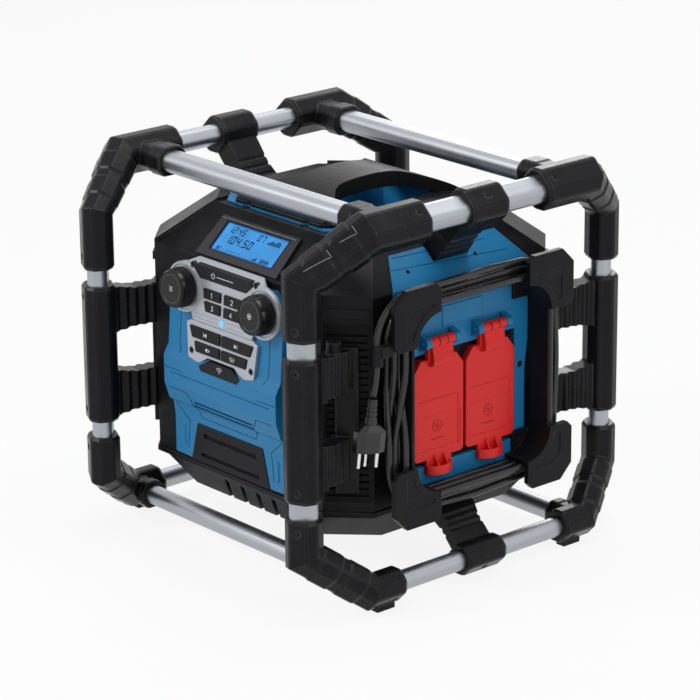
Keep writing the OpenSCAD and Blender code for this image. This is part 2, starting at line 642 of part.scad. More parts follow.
// ---- handle ----
handle_foot_y = 91;                       // how far the handle's feet reach, front and back
handle_foot_w = 128;                      // width of the handle over its feet
handle_end_y = 79;                        // where the handle's underside meets the top
saddle_t = 3;                             // thickness of the plate under the handle
// heights of the handle's upper and lower side along y, and its half width
function handle_over(y) = handle_z - (handle_z - top_z - 6) * pow(y / handle_foot_y, 2.35);
function handle_under(y) = handle_z - handle_t
  - (handle_z - handle_t - top_z - cover_lip) * pow(y / handle_end_y, 2.2);
function handle_half(y) = let (f = max(0, min(1, (y - 34) / 50)))
  handle_w / 2 + (handle_foot_w - handle_w) / 2 * f * f * (3 - 2 * f);
module handle() color("#2b2b2e") {
  intersection() {
    rotate([90, 0, 90]) linear_extrude(handle_foot_w, center = true) polygon(mirrored(concat(
      [for (i = [0:12]) let (y = handle_foot_y * i / 12) [y, handle_over(y)]],
      [[handle_foot_y, top_z + cover_lip]],
      [for (i = [12:-1:0]) let (y = handle_end_y * i / 12) [y, handle_under(y)]])));
    translate([0, 0, top_z]) linear_extrude(60) polygon(mirrored(concat(
      [for (i = [-12:12]) let (y = (handle_foot_y + 1) * i / 12) [handle_half(abs(y)), y]])));
  }
  // black plate over the top, round the hand well
  translate([0, 0, top_z + cover_lip]) linear_extrude(saddle_t) difference() {
    polygon(plan8(top_hx - 8, top_hy - 8, top_cut + 16));
    polygon(plan8(well_hx - well_wall, well_hy - well_wall, 19));
    for (x = [-1, 1], y = [-1, 1]) translate([x * 44, y * 98]) circle(r = screw_r + 3);
    translate([24, 6 - well_hy - 12]) square([34, 5]);
  }
}

// ---- front panel, display and control deck ----
deck_y = body_hy + deck_out;              // how far the plate's face stands in front of the centre
// stands a child on the control deck: its X is across, its Z up the deck, its -Y out of it
module on_deck() {
  translate([0, -deck_y, deck_z]) rotate([-deck_lean, 0, 0]) children();
}
top_lean = atan(top_draw / (top_z - wall_z1));   // lean of the top's slopes from the vertical
display_rise = 0.45;                      // how far up the front slope the display's middle is
module on_front_slope() {
  translate([0, display_rise * top_draw - body_hy, wall_z1 + display_rise * (top_z - wall_z1)])
    rotate([-top_lean, 0, 0]) children();
}
// a flat outline made into a slab between y0, nearer the front, and y1
module slab(y0, y1) {
  translate([0, y1, 0]) rotate([90, 0, 0]) linear_extrude(y1 - y0) children();
}
front_z1 = 296;                           // top of the front panel
// the panel's outline seen from the front, right half
front_half = [[62, front_z0], [front_hx, front_z0 + 4], [front_hx, 278], [66, front_z1]];
band_out = 23;                            // how far the band under the keys stands out of the wall
// its face seen from the side, from the bottom up, as depth in front of the wall and height
front_face = [[5, front_z0], [10, front_z0 + 4], [10, 134], [12, 150], [17, 154], [band_out, 172],
  [band_out, 200], [band_out - 3, 206], [band_out - 6.7, 211],
  [deck_out - plate_t - (front_z1 - deck_z) * tan(deck_lean), front_z1]];
bass_half = [[60, front_z0 + 3], [50, 134]];   // right half of the bass cover
module front_recess_cut() {
  translate([0, front_recess - body_hy, 0]) rotate([90, 0, 0]) linear_extrude(80)
    offset_outline(mirrored(front_half), panel_gap);
}
module front_panel() color("#1f74b4") difference() {
  intersection() {
    translate([0, front_recess - body_hy, 0]) rotate([90, 0, 0]) linear_extrude(60)
      polygon(mirrored(front_half));
    rotate([90, 0, 90]) linear_extrude(2 * front_hx, center = true) polygon(concat(
      [for (p = front_face) [-body_hy - p[0], p[1]]],
      [[front_recess - body_hy, front_z1], [front_recess - body_hy, front_z0]]));
  }
  // everything in front of the control plate's back
  on_deck() slab(-30, plate_t) difference() {
    offset_outline(plate_outline(), panel_gap);
    translate([-40, -70]) square([80, 13]);
  }
  on_deck() {
    for (k = keys) slab(-20, plate_t + key_back + 1.8) offset_outline(k, key_gap);
    for (s = [-1, 1]) translate([s * knob_u, 0, knob_v]) rotate([-90, 0, 0])
      cylinder(h = spindle_back + knob_travel + 0.4, r = spindle_flange_r + 0.3);
    slab(-20, plate_t + 3) translate([0, lens_v]) circle(r = lens_r + 0.2);
  }
  // opening for the bass cover
  translate([0, bass_back - body_hy, 0]) rotate([90, 0, 0]) linear_extrude(60)
    offset_outline(mirrored(bass_half), panel_gap);
  // vent under the band, with its lip
  translate([-47, -body_hy - band_out - 9, 153.5]) cube([94, 20, 2.6]);
  translate([-44, -body_hy - band_out - 9, 158]) cube([88, 17, 2.4]);
  // groove along the band
  translate([-76, -body_hy - band_out - 1, 184.2]) cube([152, 2, 1.2]);
  for (s = [-1, 1]) on_deck() translate([s * 45.5, 0, -41]) rotate([90, 0, 0]) screw_hole();
  for (s = [-1, 1]) on_deck() translate([s * 48, 0, 45.3]) rotate([90, 0, 0]) screw_hole();
}
bass_back = 4;                            // depth of the bass cover behind the wall
bass_out = 11;                            // how far the bass cover stands out of the wall
module bass_cover() color("#232326") difference() {
  translate([0, bass_back - body_hy, 0]) rotate([90, 0, 0]) linear_extrude(bass_back + bass_out)
    polygon(mirrored(bass_half));
  // two sound slots
  translate([-41, -body_hy - bass_out - 3, 121]) cube([82, 6, 5]);
  translate([-45, -body_hy - bass_out - 3, 101]) cube([90, 6, 4]);
}
// outlines of the control plate and the keys, across and up the deck
knob_rim = 25.5;                          // radius of the plate's rim round a knob
// the plate's right half, from its foot up, with the rim as an arc round the knob
function plate_outline() = mirrored(concat(
  [[20, -43.4], [32, -50.5], [37, -51.5], [50, -48.5], [54, -13.5], [45, -9]],
  [for (a = [-118:8:74]) [knob_u, knob_v] + knob_rim * [cos(a), sin(a)]],
  [[61.5, 46.4]]
));
function mirror_key(k) = [for (i = [len(k) - 1:-1:0]) [-k[i].x, k[i].y]];
preset_top = [[3, 16], [27.5, 16], [28.5, 25.7], [3, 25.7]];
preset_low = [[3, 3.2], [24.5, 3.2], [27, 12.8], [3, 12.8]];
track_key = [[1.5, -26.7], [43.5, -26.7], [47.6, -15.8], [1.5, -15.8]];
sound_key = [[1.5, -40.3], [37.5, -40.3], [39.6, -30.5], [1.5, -30.5]];
power_key = [[-34, 35], [34, 35], [44.3, 44], [41.5, 48], [-41.5, 48], [-44.3, 44]];
wireless_key = [[-27.5, -58], [27.5, -58], [31, -53.5], [18, -45.6], [-18, -45.6], [-31, -53.5]];
keys = [power_key, mirror_key(preset_top), preset_top, mirror_key(preset_low), preset_low,
  mirror_key(track_key), track_key, mirror_key(sound_key), sound_key, wireless_key];
key_back = 3;                             // depth of a key behind the plate
lens_r = 3.6;                             // radius of the indicator lens
spindle_back = 10;                        // depth of a spindle behind the plate's face
spindle_flange_r = 5.5;                   // radius of a spindle's flange
plate_top_u = 49;                         // half width of the plate's rolled top edge

module control_plate() color("#c9ccd1") on_deck() difference() {
  union() {
    slab(0, plate_t) polygon(plate_outline());
    // rolled top edge that leans back to the display
    hull() {
      slab(0, plate_t) translate([-61, 42]) square([122, 3]);
      slab(9.5, 10.5) translate([-plate_top_u, 51]) square([2 * plate_top_u, 1]);
    }
    for (s = [-1, 1]) translate([s * knob_u, 0, knob_v]) rotate([90, 0, 0]) difference() {
      cylinder(h = 1.2, r = knob_rim - 0.4);
      translate([0, 0, -1]) cylinder(h = 3, r = knob_rim - 3);
    }
  }
  for (k = keys) slab(-5, 12) offset_outline(k, key_gap);
  for (s = [-1, 1]) translate([s * knob_u, 0, knob_v]) rotate([-90, 0, 0]) translate([0, 0, -5])
    cylinder(h = 20, r = spindle_r + 0.25);
  slab(-5, 12) circle_at_lens();
  // step between the upper and the lower field
  translate([-46, -1, -10.2]) cube([92, 2, 1]);
  for (s = [-1, 1]) translate([s * 45.5, 0, -41]) rotate([90, 0, 0]) screw_hole();
  for (s = [-1, 1]) translate([s * 48, 0, 45.3]) rotate([90, 0, 0]) screw_hole();
}
lens_v = -4;                              // height of the lens on the deck
module circle_at_lens() {
  translate([0, lens_v]) circle(r = lens_r + 0.15);
}
module indicator_lens() color("#7fd0ff") on_deck()
  slab(-0.6, plate_t + 2.5) translate([0, lens_v]) circle(r = lens_r);
module key(k) color("#1b1b1e") on_deck() slab(-key_proud, plate_t + key_back) polygon(k);
module power_button() key(keys[0]);
module preset_button_1() key(keys[1]);
module preset_button_2() key(keys[2]);
module preset_button_3() key(keys[3]);
module preset_button_4() key(keys[4]);
module previous_button() key(keys[5]);
module next_button() key(keys[6]);
module mute_button() key(keys[7]);
module equaliser_button() key(keys[8]);
module wireless_button() key(keys[9]);
knob_gap = 1.4;                           // gap between a knob and the plate, for its press
knob_bore = 10;                           // depth of a knob's bore
bore_gap = 0.05;                          // radial clearance of a knob on its spindle
module spindle(s) color("silver") on_deck() translate([s * knob_u, 0, knob_v]) rotate([90, 0, 0]) {
  translate([0, 0, -spindle_back]) cylinder(h = spindle_back + knob_gap + knob_bore - 0.3, r = spindle_r);
  translate([0, 0, -plate_t - 2.2]) cylinder(h = 1.8, r = spindle_flange_r);
}
module knob(s) color("#1b1b1e") on_deck()
  translate([s * knob_u, -knob_gap, knob_v]) rotate([90, 0, 0]) difference() {
    rotate_extrude($fn = 72) polygon([
      [0, 0], [knob_r - 0.6, 0], [knob_r, 0.8], [knob_r - 0.8, knob_len - 5],
      [knob_r - 1.6, knob_len - 2], [knob_r - 2.8, knob_len], [knob_r - 4.6, knob_len],
      [knob_r - 5, knob_len - 0.8], [0, knob_len - 0.8]
    ]);
    translate([0, 0, -1]) cylinder(h = knob_bore + 1, r = spindle_r + bore_gap);
  }
module menu_spindle() spindle(-1);
module source_spindle() spindle(1);
module menu_knob() knob(-1);
module source_knob() knob(1);

display_u = 47;                           // half width of the display
display_v = 17;                           // half height of the display
module lcd_bezel() color("#2b2b2e") on_front_slope() slab(-3, 0) difference() {
  polygon([[-61, -25], [61, -25], [58, 22], [-58, 22]]);
  square([2 * display_u, 2 * display_v], center = true);
}
module lcd_screen() color("#3fa4f4") on_front_slope()
  slab(-1.8, 0) square([2 * (display_u - panel_gap), 2 * (display_v - panel_gap)], center = true);

// ---- outlet side ----
outlet_block_depth = 16;                  // depth of the outlet block behind its panel
block_hy = 70;                            // half width of the outlet block
block_z0 = 120;                           // bottom of the outlet block
block_z1 = 234;                           // top of the outlet block
panel_proud = 2;                          // how far the wall panels stand out of the walls
block_face = body_hx - 3;                 // face of the outlet block
socket_z = 178;                           // height of the socket centres
slope_panel_top = 38;                     // length of the outlet panel up the slope
module on_right_slope() {
  translate([body_hx, 0, wall_z1]) rotate([0, 0, 90]) rotate([-top_lean, 0, 0]) children();
}
// a wall panel with its part on the slope
module wall_panel() {
  translate([body_hx - panel_t, 0, 0]) rotate([90, 0, 90]) linear_extrude(panel_t + panel_proud)
    polygon(outlet_outline());
  on_right_slope() slab(-panel_proud, 0)
    polygon([[-outlet_hy, -1], [outlet_hy, -1], [69, slope_panel_top], [-69, slope_panel_top]]);
}
panel_screw_places = [[-57, 290], [57, 290], [-78, 195], [78, 195]];
module outlet_panel() color("#1f74b4") difference() {
  union() {
    wall_panel();
    for (s = [-1, 1], t = [-1, 1]) hinge_ear(s, t);
    // blank label plate
    translate([body_hx + panel_proud - eps, -26, 257]) cube([0.8 + eps, 52, 20]);
  }
  translate([body_hx - panel_t - 1, -block_hy - panel_gap, block_z0 - panel_gap])
    cube([40, 2 * (block_hy + panel_gap), block_z1 - block_z0 + 2 * panel_gap]);
  for (s = [-1, 1]) translate([body_hx + hinge_out, s * cover_y, hinge_z]) rotate([90, 0, 0])
    cylinder(h = 60, r = pin_r, center = true);
  for (p = panel_screw_places)
    translate([body_hx + panel_proud, p[0], p[1]]) rotate([0, 90, 0]) screw_hole();
  guide_screw_holes();
  strap_seat();
}
// room for the strap of the bracket above
module strap_seat() {
  d = slope_at(0.5) - [rail_x, 0, rail_z1];
  translate([rail_x, 0, rail_z1]) rotate([0, atan2(d.x, d.z), 0])
    translate([-upper_strap_t / 2 - 0.2, -23.2, 0]) cube([upper_strap_t + 0.4, 46.4, norm(d) + 3]);
}
ear_t = 7;                                // thickness of a hinge ear
knuckle_w = 30;                           // width of a cover's knuckle
knuckle_r = 5;                            // radius of a cover's knuckle
side_gap = 0.4;                           // clearance beside a knuckle
module hinge_ear(s, t) {
  y = s * cover_y + t * (knuckle_w / 2 + side_gap + ear_t / 2);
  translate([body_hx, y, hinge_z]) rotate([90, 0, 0]) linear_extrude(ear_t, center = true) {
    translate([hinge_out, 0]) circle(r = knuckle_r + 0.5);
    polygon([[0, -9], [hinge_out, -knuckle_r - 0.5], [hinge_out, knuckle_r + 0.5], [0, 9]]);
  }
}
module hinge_pins() color("silver") {
  for (s = [-1, 1]) translate([body_hx + hinge_out, s * cover_y, hinge_z]) rotate([90, 0, 0])
    cylinder(h = knuckle_w + 2 * side_gap + 2 * ear_t - 1, r = pin_r, center = true);
  translate([0, door_axis[0], door_axis[1]]) rotate([0, 90, 0])
    cylinder(h = 2 * (door_knuckle_x + door_knuckle_w / 2 + side_gap + 5) - 1, r = pin_r, center = true);
}
module outlet_block() color("#1b1b1e") difference() {
  translate([body_hx - panel_t - outlet_block_depth, -block_hy, block_z0])
    cube([block_face - (body_hx - panel_t - outlet_block_depth), 2 * block_hy, block_z1 - block_z0]);
  for (s = [-1, 1]) translate([block_face, s * cover_y, socket_z]) rotate([0, -90, 0]) {
    translate([0, 0, -1]) cylinder(h = socket_depth + 1, r = socket_r);
    for (t = [-1, 1]) translate([0, t * 9.5, 0]) cylinder(h = socket_depth + 6, r = 2.6);
  }
}
cover_z1 = 229;                           // top of a cover's plate
cover_face = body_hx + 6;                 // outer face of a closed cover
cover_rim = 2;                            // wall of a cover's rim
cover_lift = 0.3;                         // gap between a cover's rim and the block
module outlet_cover(s) color("#e0352d") translate([0, s * cover_y, 0]) difference() {
  union() {
    translate([cover_face - cover_t, 0, 0]) rotate([90, 0, 90]) linear_extrude(cover_t) cover_outline();
    // rim that closes on the block
    translate([block_face + cover_lift, 0, 0]) rotate([90, 0, 90])
      linear_extrude(cover_face - cover_t - block_face - cover_lift + eps) difference() {
        offset(delta = -1) cover_outline();
        offset(delta = -1 - cover_rim) cover_outline();
      }
    // neck and knuckle
    translate([body_hx + panel_proud + cover_lift, -knuckle_w / 2, cover_z1 - 2])
      cube([5, knuckle_w, hinge_z - cover_z1 + 2]);
    translate([body_hx + hinge_out, 0, hinge_z]) rotate([90, 0, 0])
      cylinder(h = knuckle_w, r = knuckle_r, center = true);
    // ramp under the knuckle
    rotate([90, 0, 0]) linear_extrude(knuckle_w - 4, center = true) polygon([
      [cover_face - 1, hinge_z - 2], [cover_face + 5, hinge_z - 3], [cover_face + 8, cover_z1 - 1],
      [cover_face + 7, cover_z1 - 5], [cover_face - 1, cover_z1 - 8]]);
    // tongue and pull tab
    translate([body_hx + panel_proud + cover_lift, -16, cover_z1 - cover_h - 15])
      cube([cover_face - body_hx - panel_proud - cover_lift, 32, 20]);
    translate([cover_face - 12, 0, cover_z1 - cover_h - 15]) intersection() {
      difference() {
        cylinder(h = 9, r = 21);
        translate([0, 0, -1]) cylinder(h = 11, r = 18.5);
      }
      translate([11, -16, 0]) cube([20, 32, 9]);
    }
    for (t = [-1, 1]) translate([0, t * 6, 0]) rotate([90, 0, 0])
      linear_extrude(1.6, center = true) polygon([
      [cover_face - 1, cover_z1 - cover_h + 6], [cover_face + 8, cover_z1 - cover_h - 7],
      [cover_face + 7, cover_z1 - cover_h - 14], [cover_face - 1, cover_z1 - cover_h - 14]]);
  }
  translate([body_hx + hinge_out, 0, hinge_z]) rotate([90, 0, 0])
    cylinder(h = 60, r = pin_r + pin_gap, center = true);
  // sunk field on the face
  translate([cover_face - 0.6, -cover_w / 2 + 3.5, cover_z1 - cover_h + 10]) cube([2, cover_w - 7, 34]);
}
module cover_outline() {
  z0 = cover_z1 - cover_h;
  h = cover_w / 2;
  polygon([[-h + 3, z0], [h - 3, z0], [h, z0 + 3], [h, cover_z1 - 12],
    [h - 9, cover_z1], [9 - h, cover_z1],
    [-h, cover_z1 - 12], [-h, z0 + 3]]);
}
module outlet_cover_left() outlet_cover(-1);
module outlet_cover_right() outlet_cover(1);

// ---- cord storage ----
guide_z0 = 77;                            // bottom of the lower hooks
guide_z1 = 316;                           // top of the upper hooks
hook_x = body_hx + hook_out;              // back of the hook plates
hook_bend = 30;                           // radius of a hook's inner bend
guide_wall = 3;                           // wall of the cord guides
coil_gap = 0.3;                           // clearance between the winding and what holds it
coil_w = 21;                              // depth of the winding, from its inside outwards
// one hook in its own corner, y and z from the inner corner of its plate
module hook(y, z, s) {
  translate([0, y, z]) mirror([0, 0, s > 0 ? 0 : 1]) {
    translate([hook_x, 0, 0]) rotate([90, 0, 90]) difference() {
      linear_extrude(hook_t) difference() {
        polygon([[0, 0], [hook_w - 6, 0], [hook_w, 6], [hook_w, hook_w - 15], [hook_w - 15, hook_w],
          [6, hook_w], [0, hook_w - 6]]);
        circle(r = hook_bend, $fn = 64);
      }
      // shallow field on the face
      translate([0, 0, hook_t - 1]) linear_extrude(2) difference() {
        polygon([[8, 8], [44, 8], [44, 32], [32, 40], [8, 40]]);
        circle(r = hook_bend + 6, $fn = 64);
      }
    }
    translate([body_hx, 0, 0]) rotate([90, 0, 90]) linear_extrude(hook_out + 1) intersection() {
      difference() {
        circle(r = hook_bend + guide_wall, $fn = 64);
        circle(r = hook_bend, $fn = 64);
      }
      square(60);
    }
    // flange with its screw
    translate([body_hx + panel_proud, 0, 0]) rotate([90, 0, 90]) linear_extrude(3) difference() {
      intersection() {
        circle(r = hook_bend + 1, $fn = 64);
        translate([8, 8]) square(60);
      }
      translate([16, 16]) circle(r = screw_r + 0.2, $fn = 24);
    }
  }
}
module cord_guide(s) {
  y = guide_hy - hook_w;
  mirror([0, s > 0 ? 0 : 1, 0]) difference() {
    union() {
      hook(y, guide_z1 - hook_w, 1);
      hook(y, guide_z0 + hook_w, -1);
      translate([body_hx, y + hook_bend, guide_z0 + hook_w - 1])
        cube([hook_out + 1, guide_wall, guide_z1 - guide_z0 - 2 * hook_w + 2]);
    }
    // seat on the proud wall panel
    translate([body_hx - 1, 0, 0]) rotate([90, 0, 90]) linear_extrude(panel_proud + 1)
      offset_outline(outlet_outline(), panel_gap);
    // clear of the base's lip
    translate([body_hx - 1, 0, 0]) cube([2.6, 200, wall_z0 + 0.1]);
  }
}
// places of the guides' screws, along y and z, on their flanges
guide_screw_places = [for (y = [-1, 1], z = [guide_z1 - hook_w + 16, guide_z0 + hook_w - 16])
  [y * (guide_hy - hook_w + 16), z]];
module guide_screw_holes() {
  for (p = guide_screw_places)
    translate([body_hx + panel_proud + 3, p[0], p[1]]) rotate([0, 90, 0]) screw_hole();
}
clip_at = [184, -129, 256];               // middle of the clip that holds the cord's end
module cord_guides() color("#232326") {
  cord_guide(1);
  cord_guide(-1);
  difference() {
    union() {
      translate(clip_at) cylinder(h = 20, r = cord_d / 2 + 3, center = true);
      translate([clip_at.x, clip_at.y, clip_at.z - 1])
        cube([hook_x - clip_at.x + 2, -guide_hy - clip_at.y + 3, 10]);
    }
    translate(clip_at) cylinder(h = 30, r = cord_d / 2 + 0.05, center = true);
    translate(clip_at + [-20, -1.5, -20]) cube([20, 3, 40]);
  }
}
coil_mid_z = (guide_z0 + guide_z1) / 2;
module cord_winding() color("#1b1b1e") {
  hy = guide_hy - hook_w + hook_bend + guide_wall + coil_gap;
  hz = (guide_z1 - guide_z0) / 2 - hook_w + hook_bend + guide_wall + coil_gap;
  r = hook_bend + guide_wall + coil_gap;
  difference() {
    translate([body_hx + panel_proud + coil_gap, 0, coil_mid_z]) rotate([90, 0, 90])
      linear_extrude(hook_out - panel_proud - 2 * coil_gap) difference() {
        flat_oval(2 * (hy + coil_w), 2 * (hz + coil_w), r + coil_w, $fn = 64);
        flat_oval(2 * hy, 2 * hz, r, $fn = 64);
      }
    // groove of the turn that leaves the winding
    cord_along(tail_route, coil_gap);
  }
}
// route of the cord's free end, from the winding down through its clip to the plug
plug_at = [182.3, -132.1, 214];           // where the cord enters the plug's relief
tail_bend = 45;                           // radius of the bend from the top of the winding down to the clip
tail_mid = [clip_at.y + tail_bend, clip_at.z + 10];  // middle of that bend, as y and z
tail_x = 187;                             // where the free end leaves the winding
tail_route = concat(
  [for (y = [24, 10]) [tail_x, tail_mid.x + y, tail_mid.y + tail_bend]],
  [for (a = [90:10:180]) [tail_x - 3 * (a - 90) / 90,
    tail_mid.x + tail_bend * cos(a), tail_mid.y + tail_bend * sin(a)]],
  [clip_at, clip_at - [0, 0, 10], clip_at - [0.1, 0.4, 18], clip_at - [0.5, 1.3, 26],
    clip_at - [1.1, 2.3, 34], plug_at + [0, 0, 0.5]]
);
module cord_along(route, gap = 0)
  swept(route, [1, 0, 0], [for (a = [0:36:324]) (cord_d / 2 + gap) * [cos(a), sin(a)]],
    [for (p = route) 1]);
module mains_cord() color("#1b1b1e") cord_along(tail_route);
plug_turn = [-6, 0, -14];                 // turns of the hanging plug
relief_len = 21;                          // length of the plug's ribbed relief
plug_h = 31;                              // height of the plug's body
pin_len = 18;                             // length of the plug's contact pins
pin_pitch = 19;                           // distance between the outer contact pins
// outline of the plug's body from below
plug_outline = [[8, -7.5], [8, 7.5], [4, 15], [-4, 15], [-8, 7.5], [-8, -7.5], [-4, -15], [4, -15]];
module plug() color("#2b2b2e")
  translate(plug_at) rotate(plug_turn) translate([0, 0, -relief_len]) difference() {
  union() {
    cylinder(h = relief_len, r1 = 5.6, r2 = 4.6);
    translate([0, 0, -plug_h]) linear_extrude(20) polygon(plug_outline);
    translate([0, 0, 20 - plug_h - eps]) linear_extrude(plug_h - 24, scale = [0.75, 0.5])
      polygon(plug_outline);
    translate([0, 0, -5]) cylinder(h = 5.5, r = 6);
  }
  // ribs of the relief
  for (z = [4:4.5:18]) translate([0, 0, z]) difference() {
    cylinder(h = 1.6, r = 9);
    translate([0, 0, -1]) cylinder(h = 4, r = 4.4);
  }
  pins(2);
}
// contact pins under the plug's relief, the middle one set back, reaching in mm into the body
module pins(in) {
  for (p = [[0, -pin_pitch / 2], [0, pin_pitch / 2], [-5, 0]])
    translate([p[0], p[1], in - plug_h - pin_len]) cylinder(h = pin_len + 2, r = 2, $fn = 24);
}
module plug_pins() color("silver")
  translate(plug_at) rotate(plug_turn) translate([0, 0, -relief_len]) pins(2);

// ---- back, left side and grilles ----
bay_z0 = 140;                             // bottom of the media bay's door
door_face = body_hy + panel_proud;        // outer face of the closed door
door_knuckle_r = 3.6;                     // radius of the door's knuckles
door_axis = [door_face + 2.4, bay_z0 - 4];   // the door's hinge axis, as y and z
door_knuckle_w = 20;                      // width of a door knuckle
door_knuckle_x = 35;                      // distance of a door knuckle from the middle
latch_z = bay_z0 + door_h - 16;           // height of the latch's axis
latch_r = 4;                              // radius of the latch's shaft
latch_bar = 36;                           // length of the latch's bar behind the door
latch_gap = 0.5;                          // play of the latch along its axis
module side_panel() color("#1f74b4") mirror([1, 0, 0]) difference() {
  wall_panel();
  strap_seat();
  for (p = panel_screw_places)
    translate([body_hx + panel_proud, p[0], p[1]]) rotate([0, 90, 0]) screw_hole();
  // cooling slots
  for (z = [130:12:226]) translate([body_hx - 4, -45, z]) cube([20, 90, 5]);
}
module back_panel() color("#1f74b4") {
  difference() {
    translate([0, body_hy - panel_t, 0]) rotate([-90, 0, 0]) mirror([0, 1, 0])
      linear_extrude(panel_t + panel_proud) polygon(back_outline());
    // doorway and the step that the door lies in
    translate([-door_w / 2 + 4, body_hy - panel_t - 1, bay_z0 + 4]) cube([door_w - 8, 40, door_h - 8]);
    translate([-door_w / 2 - 0.5, door_face - door_t - 0.3, bay_z0 - 0.5])
      cube([door_w + 1, 40, door_h + 1]);
    // trough for the hinge
    translate([-door_w / 2 - 0.5, door_face - 6.5, door_axis[1] - 5]) cube([door_w + 1, 40, 10]);
    for (s = [-1, 1], z = [112, 280]) translate([s * 70, door_face, z]) rotate([-90, 0, 0]) screw_hole();
  }
  for (s = [-1, 1], t = [-1, 1]) door_ear(s * door_knuckle_x + t * (door_knuckle_w / 2 + side_gap + 2.5));
}
// an ear of the door's hinge, its middle at x
module door_ear(x) {
  translate([x, 0, 0]) rotate([90, 0, 90]) linear_extrude(5, center = true) difference() {
    union() {
      translate(door_axis) circle(r = door_knuckle_r);
      translate([door_face - 7, door_axis[1] - 3.4]) square([9, 5]);
    }
    translate(door_axis) circle(r = pin_r);
  }
}
module media_door() color("#232326") difference() {
  union() {
    translate([-door_w / 2, door_face - door_t, bay_z0]) cube([door_w, door_t, door_h]);
    for (s = [-1, 1]) translate([s * door_knuckle_x, 0, 0]) rotate([90, 0, 90])
      linear_extrude(door_knuckle_w, center = true) {
        translate(door_axis) circle(r = door_knuckle_r);
        polygon([[door_face - door_t, bay_z0 + 1], [door_face - door_t, bay_z0 - 1],
          door_axis + [-2.4, -2], door_axis + [2.6, 2.4], [door_face - 0.2, bay_z0 + 2.5]]);
      }
  }
  for (s = [-1, 1]) translate([s * door_knuckle_x, door_axis[0], door_axis[1]]) rotate([0, 90, 0])
    cylinder(h = door_knuckle_w + 2, r = pin_r + pin_gap, center = true);
  translate([0, door_face - door_t - 1, latch_z]) rotate([-90, 0, 0])
    cylinder(h = door_t + 2, r = latch_r + pin_gap);
  // sunk field and its grip lines
  translate([-50, door_face - 0.8, bay_z0 + 10]) cube([100, 2, 46]);
  for (z = [60:5:70]) translate([-50, door_face - 0.8, bay_z0 + z]) cube([24, 2, 2]);
}
// quarter-turn latch, drawn open: turned upright, its bar catches behind the back panel
module door_latch() color("#e0352d") translate([0, door_face, latch_z]) rotate([-90, 0, 0]) {
  translate([0, 0, -door_t - 12.5]) cylinder(h = door_t + 12.5 + latch_gap + 1, r = latch_r);
  translate([-latch_bar / 2, -4, -door_t - 12.5]) cube([latch_bar, 8, 4]);
  translate([0, 0, latch_gap]) cylinder(h = 2.5, r = 10);
  translate([-9, -2, latch_gap + 2]) cube([18, 4, 5]);
}
grille_w = 46;                            // width of a corner grille
grille_z0 = 98;                           // bottom of the grilles
grille_z1 = 278;                          // top of the grilles
module grille_pockets(g) {
  translate([face_mid.x, face_mid.y, 0]) rotate([0, 0, 45])
    translate([-grille_w / 2 - g, -1, grille_z0 - g])
      cube([grille_w + 2 * g, 9 + g, grille_z1 - grille_z0 + 2 * g]);
}
module corner_grilles() color("#1b1b1e") for (sx = [-1, 1], sy = [-1, 1]) to_corner(sx, sy)
  translate([face_mid.x, face_mid.y, 0]) rotate([0, 0, 45]) difference() {
    translate([-grille_w / 2, 0, grille_z0]) cube([grille_w, 8, grille_z1 - grille_z0]);
    for (z = [grille_z0 + 6:7:grille_z1 - 8])
      translate([-grille_w / 2 + 3, -1, z]) cube([grille_w - 6, 4, 3]);
  }
module body_screws() color("#151517") {
  for (s = [-1, 1], p = [[45.5, -41], [48, 45.3]]) on_deck()
    translate([s * p[0], 0, p[1]]) rotate([90, 0, 0]) screw();
  for (x = [-1, 1], y = [-1, 1]) translate([x * 44, y * 98, top_z]) screw();
  for (m = [0, 1], p = panel_screw_places) mirror([m, 0, 0])
    translate([body_hx + panel_proud, p[0], p[1]]) rotate([0, 90, 0]) screw();
  for (p = guide_screw_places)
    translate([body_hx + panel_proud + 3, p[0], p[1]]) rotate([0, 90, 0]) screw();
  for (s = [-1, 1], z = [112, 280])
    translate([s * 70, body_hy + panel_proud, z]) rotate([-90, 0, 0]) screw();
}

post_tubes();
side_rails();
cross_rails();
upper_corner_front_left();
upper_corner_front_right();
upper_corner_back_right();
upper_corner_back_left();
lower_corner_front_left();
lower_corner_front_right();
lower_corner_back_right();
lower_corner_back_left();
post_sleeve_front_left();
post_sleeve_front_right();
post_sleeve_back_right();
post_sleeve_back_left();
upper_bracket_left();
upper_bracket_right();
lower_bracket_left();
lower_bracket_right();
cage_screws();
housing();
base();
top_cover();
handle();
front_panel();
lcd_bezel();
lcd_screen();
control_plate();
bass_cover();
menu_spindle();
menu_knob();
source_spindle();
source_knob();
power_button();
preset_button_1();
preset_button_2();
preset_button_3();
preset_button_4();
previous_button();
next_button();
mute_button();
equaliser_button();
wireless_button();
indicator_lens();
outlet_panel();
outlet_block();
outlet_cover_left();
outlet_cover_right();
hinge_pins();
cord_guides();
cord_winding();
mains_cord();
plug();
plug_pins();
side_panel();
back_panel();
media_door();
door_latch();
corner_grilles();
body_screws();
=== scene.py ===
# %% [markdown]
# # A jobsite radio in a roll cage
# This lesson dresses a jobsite radio: an eight-sided speaker housing that hangs on ribbed
# rubber arms inside a cage of aluminium tubes. The solids come from the CAD model, already
# in place and in metres. Here they get their finishes, and the things that are easier to
# draw as meshes are added: the wound mains cord, the knob flutes, the figures in the
# display, the marks on the keys, the seams, and the lights and camera of a small studio.

# %% Load the solids
import bpy
import json
import math
from mathutils import Matrix, Vector


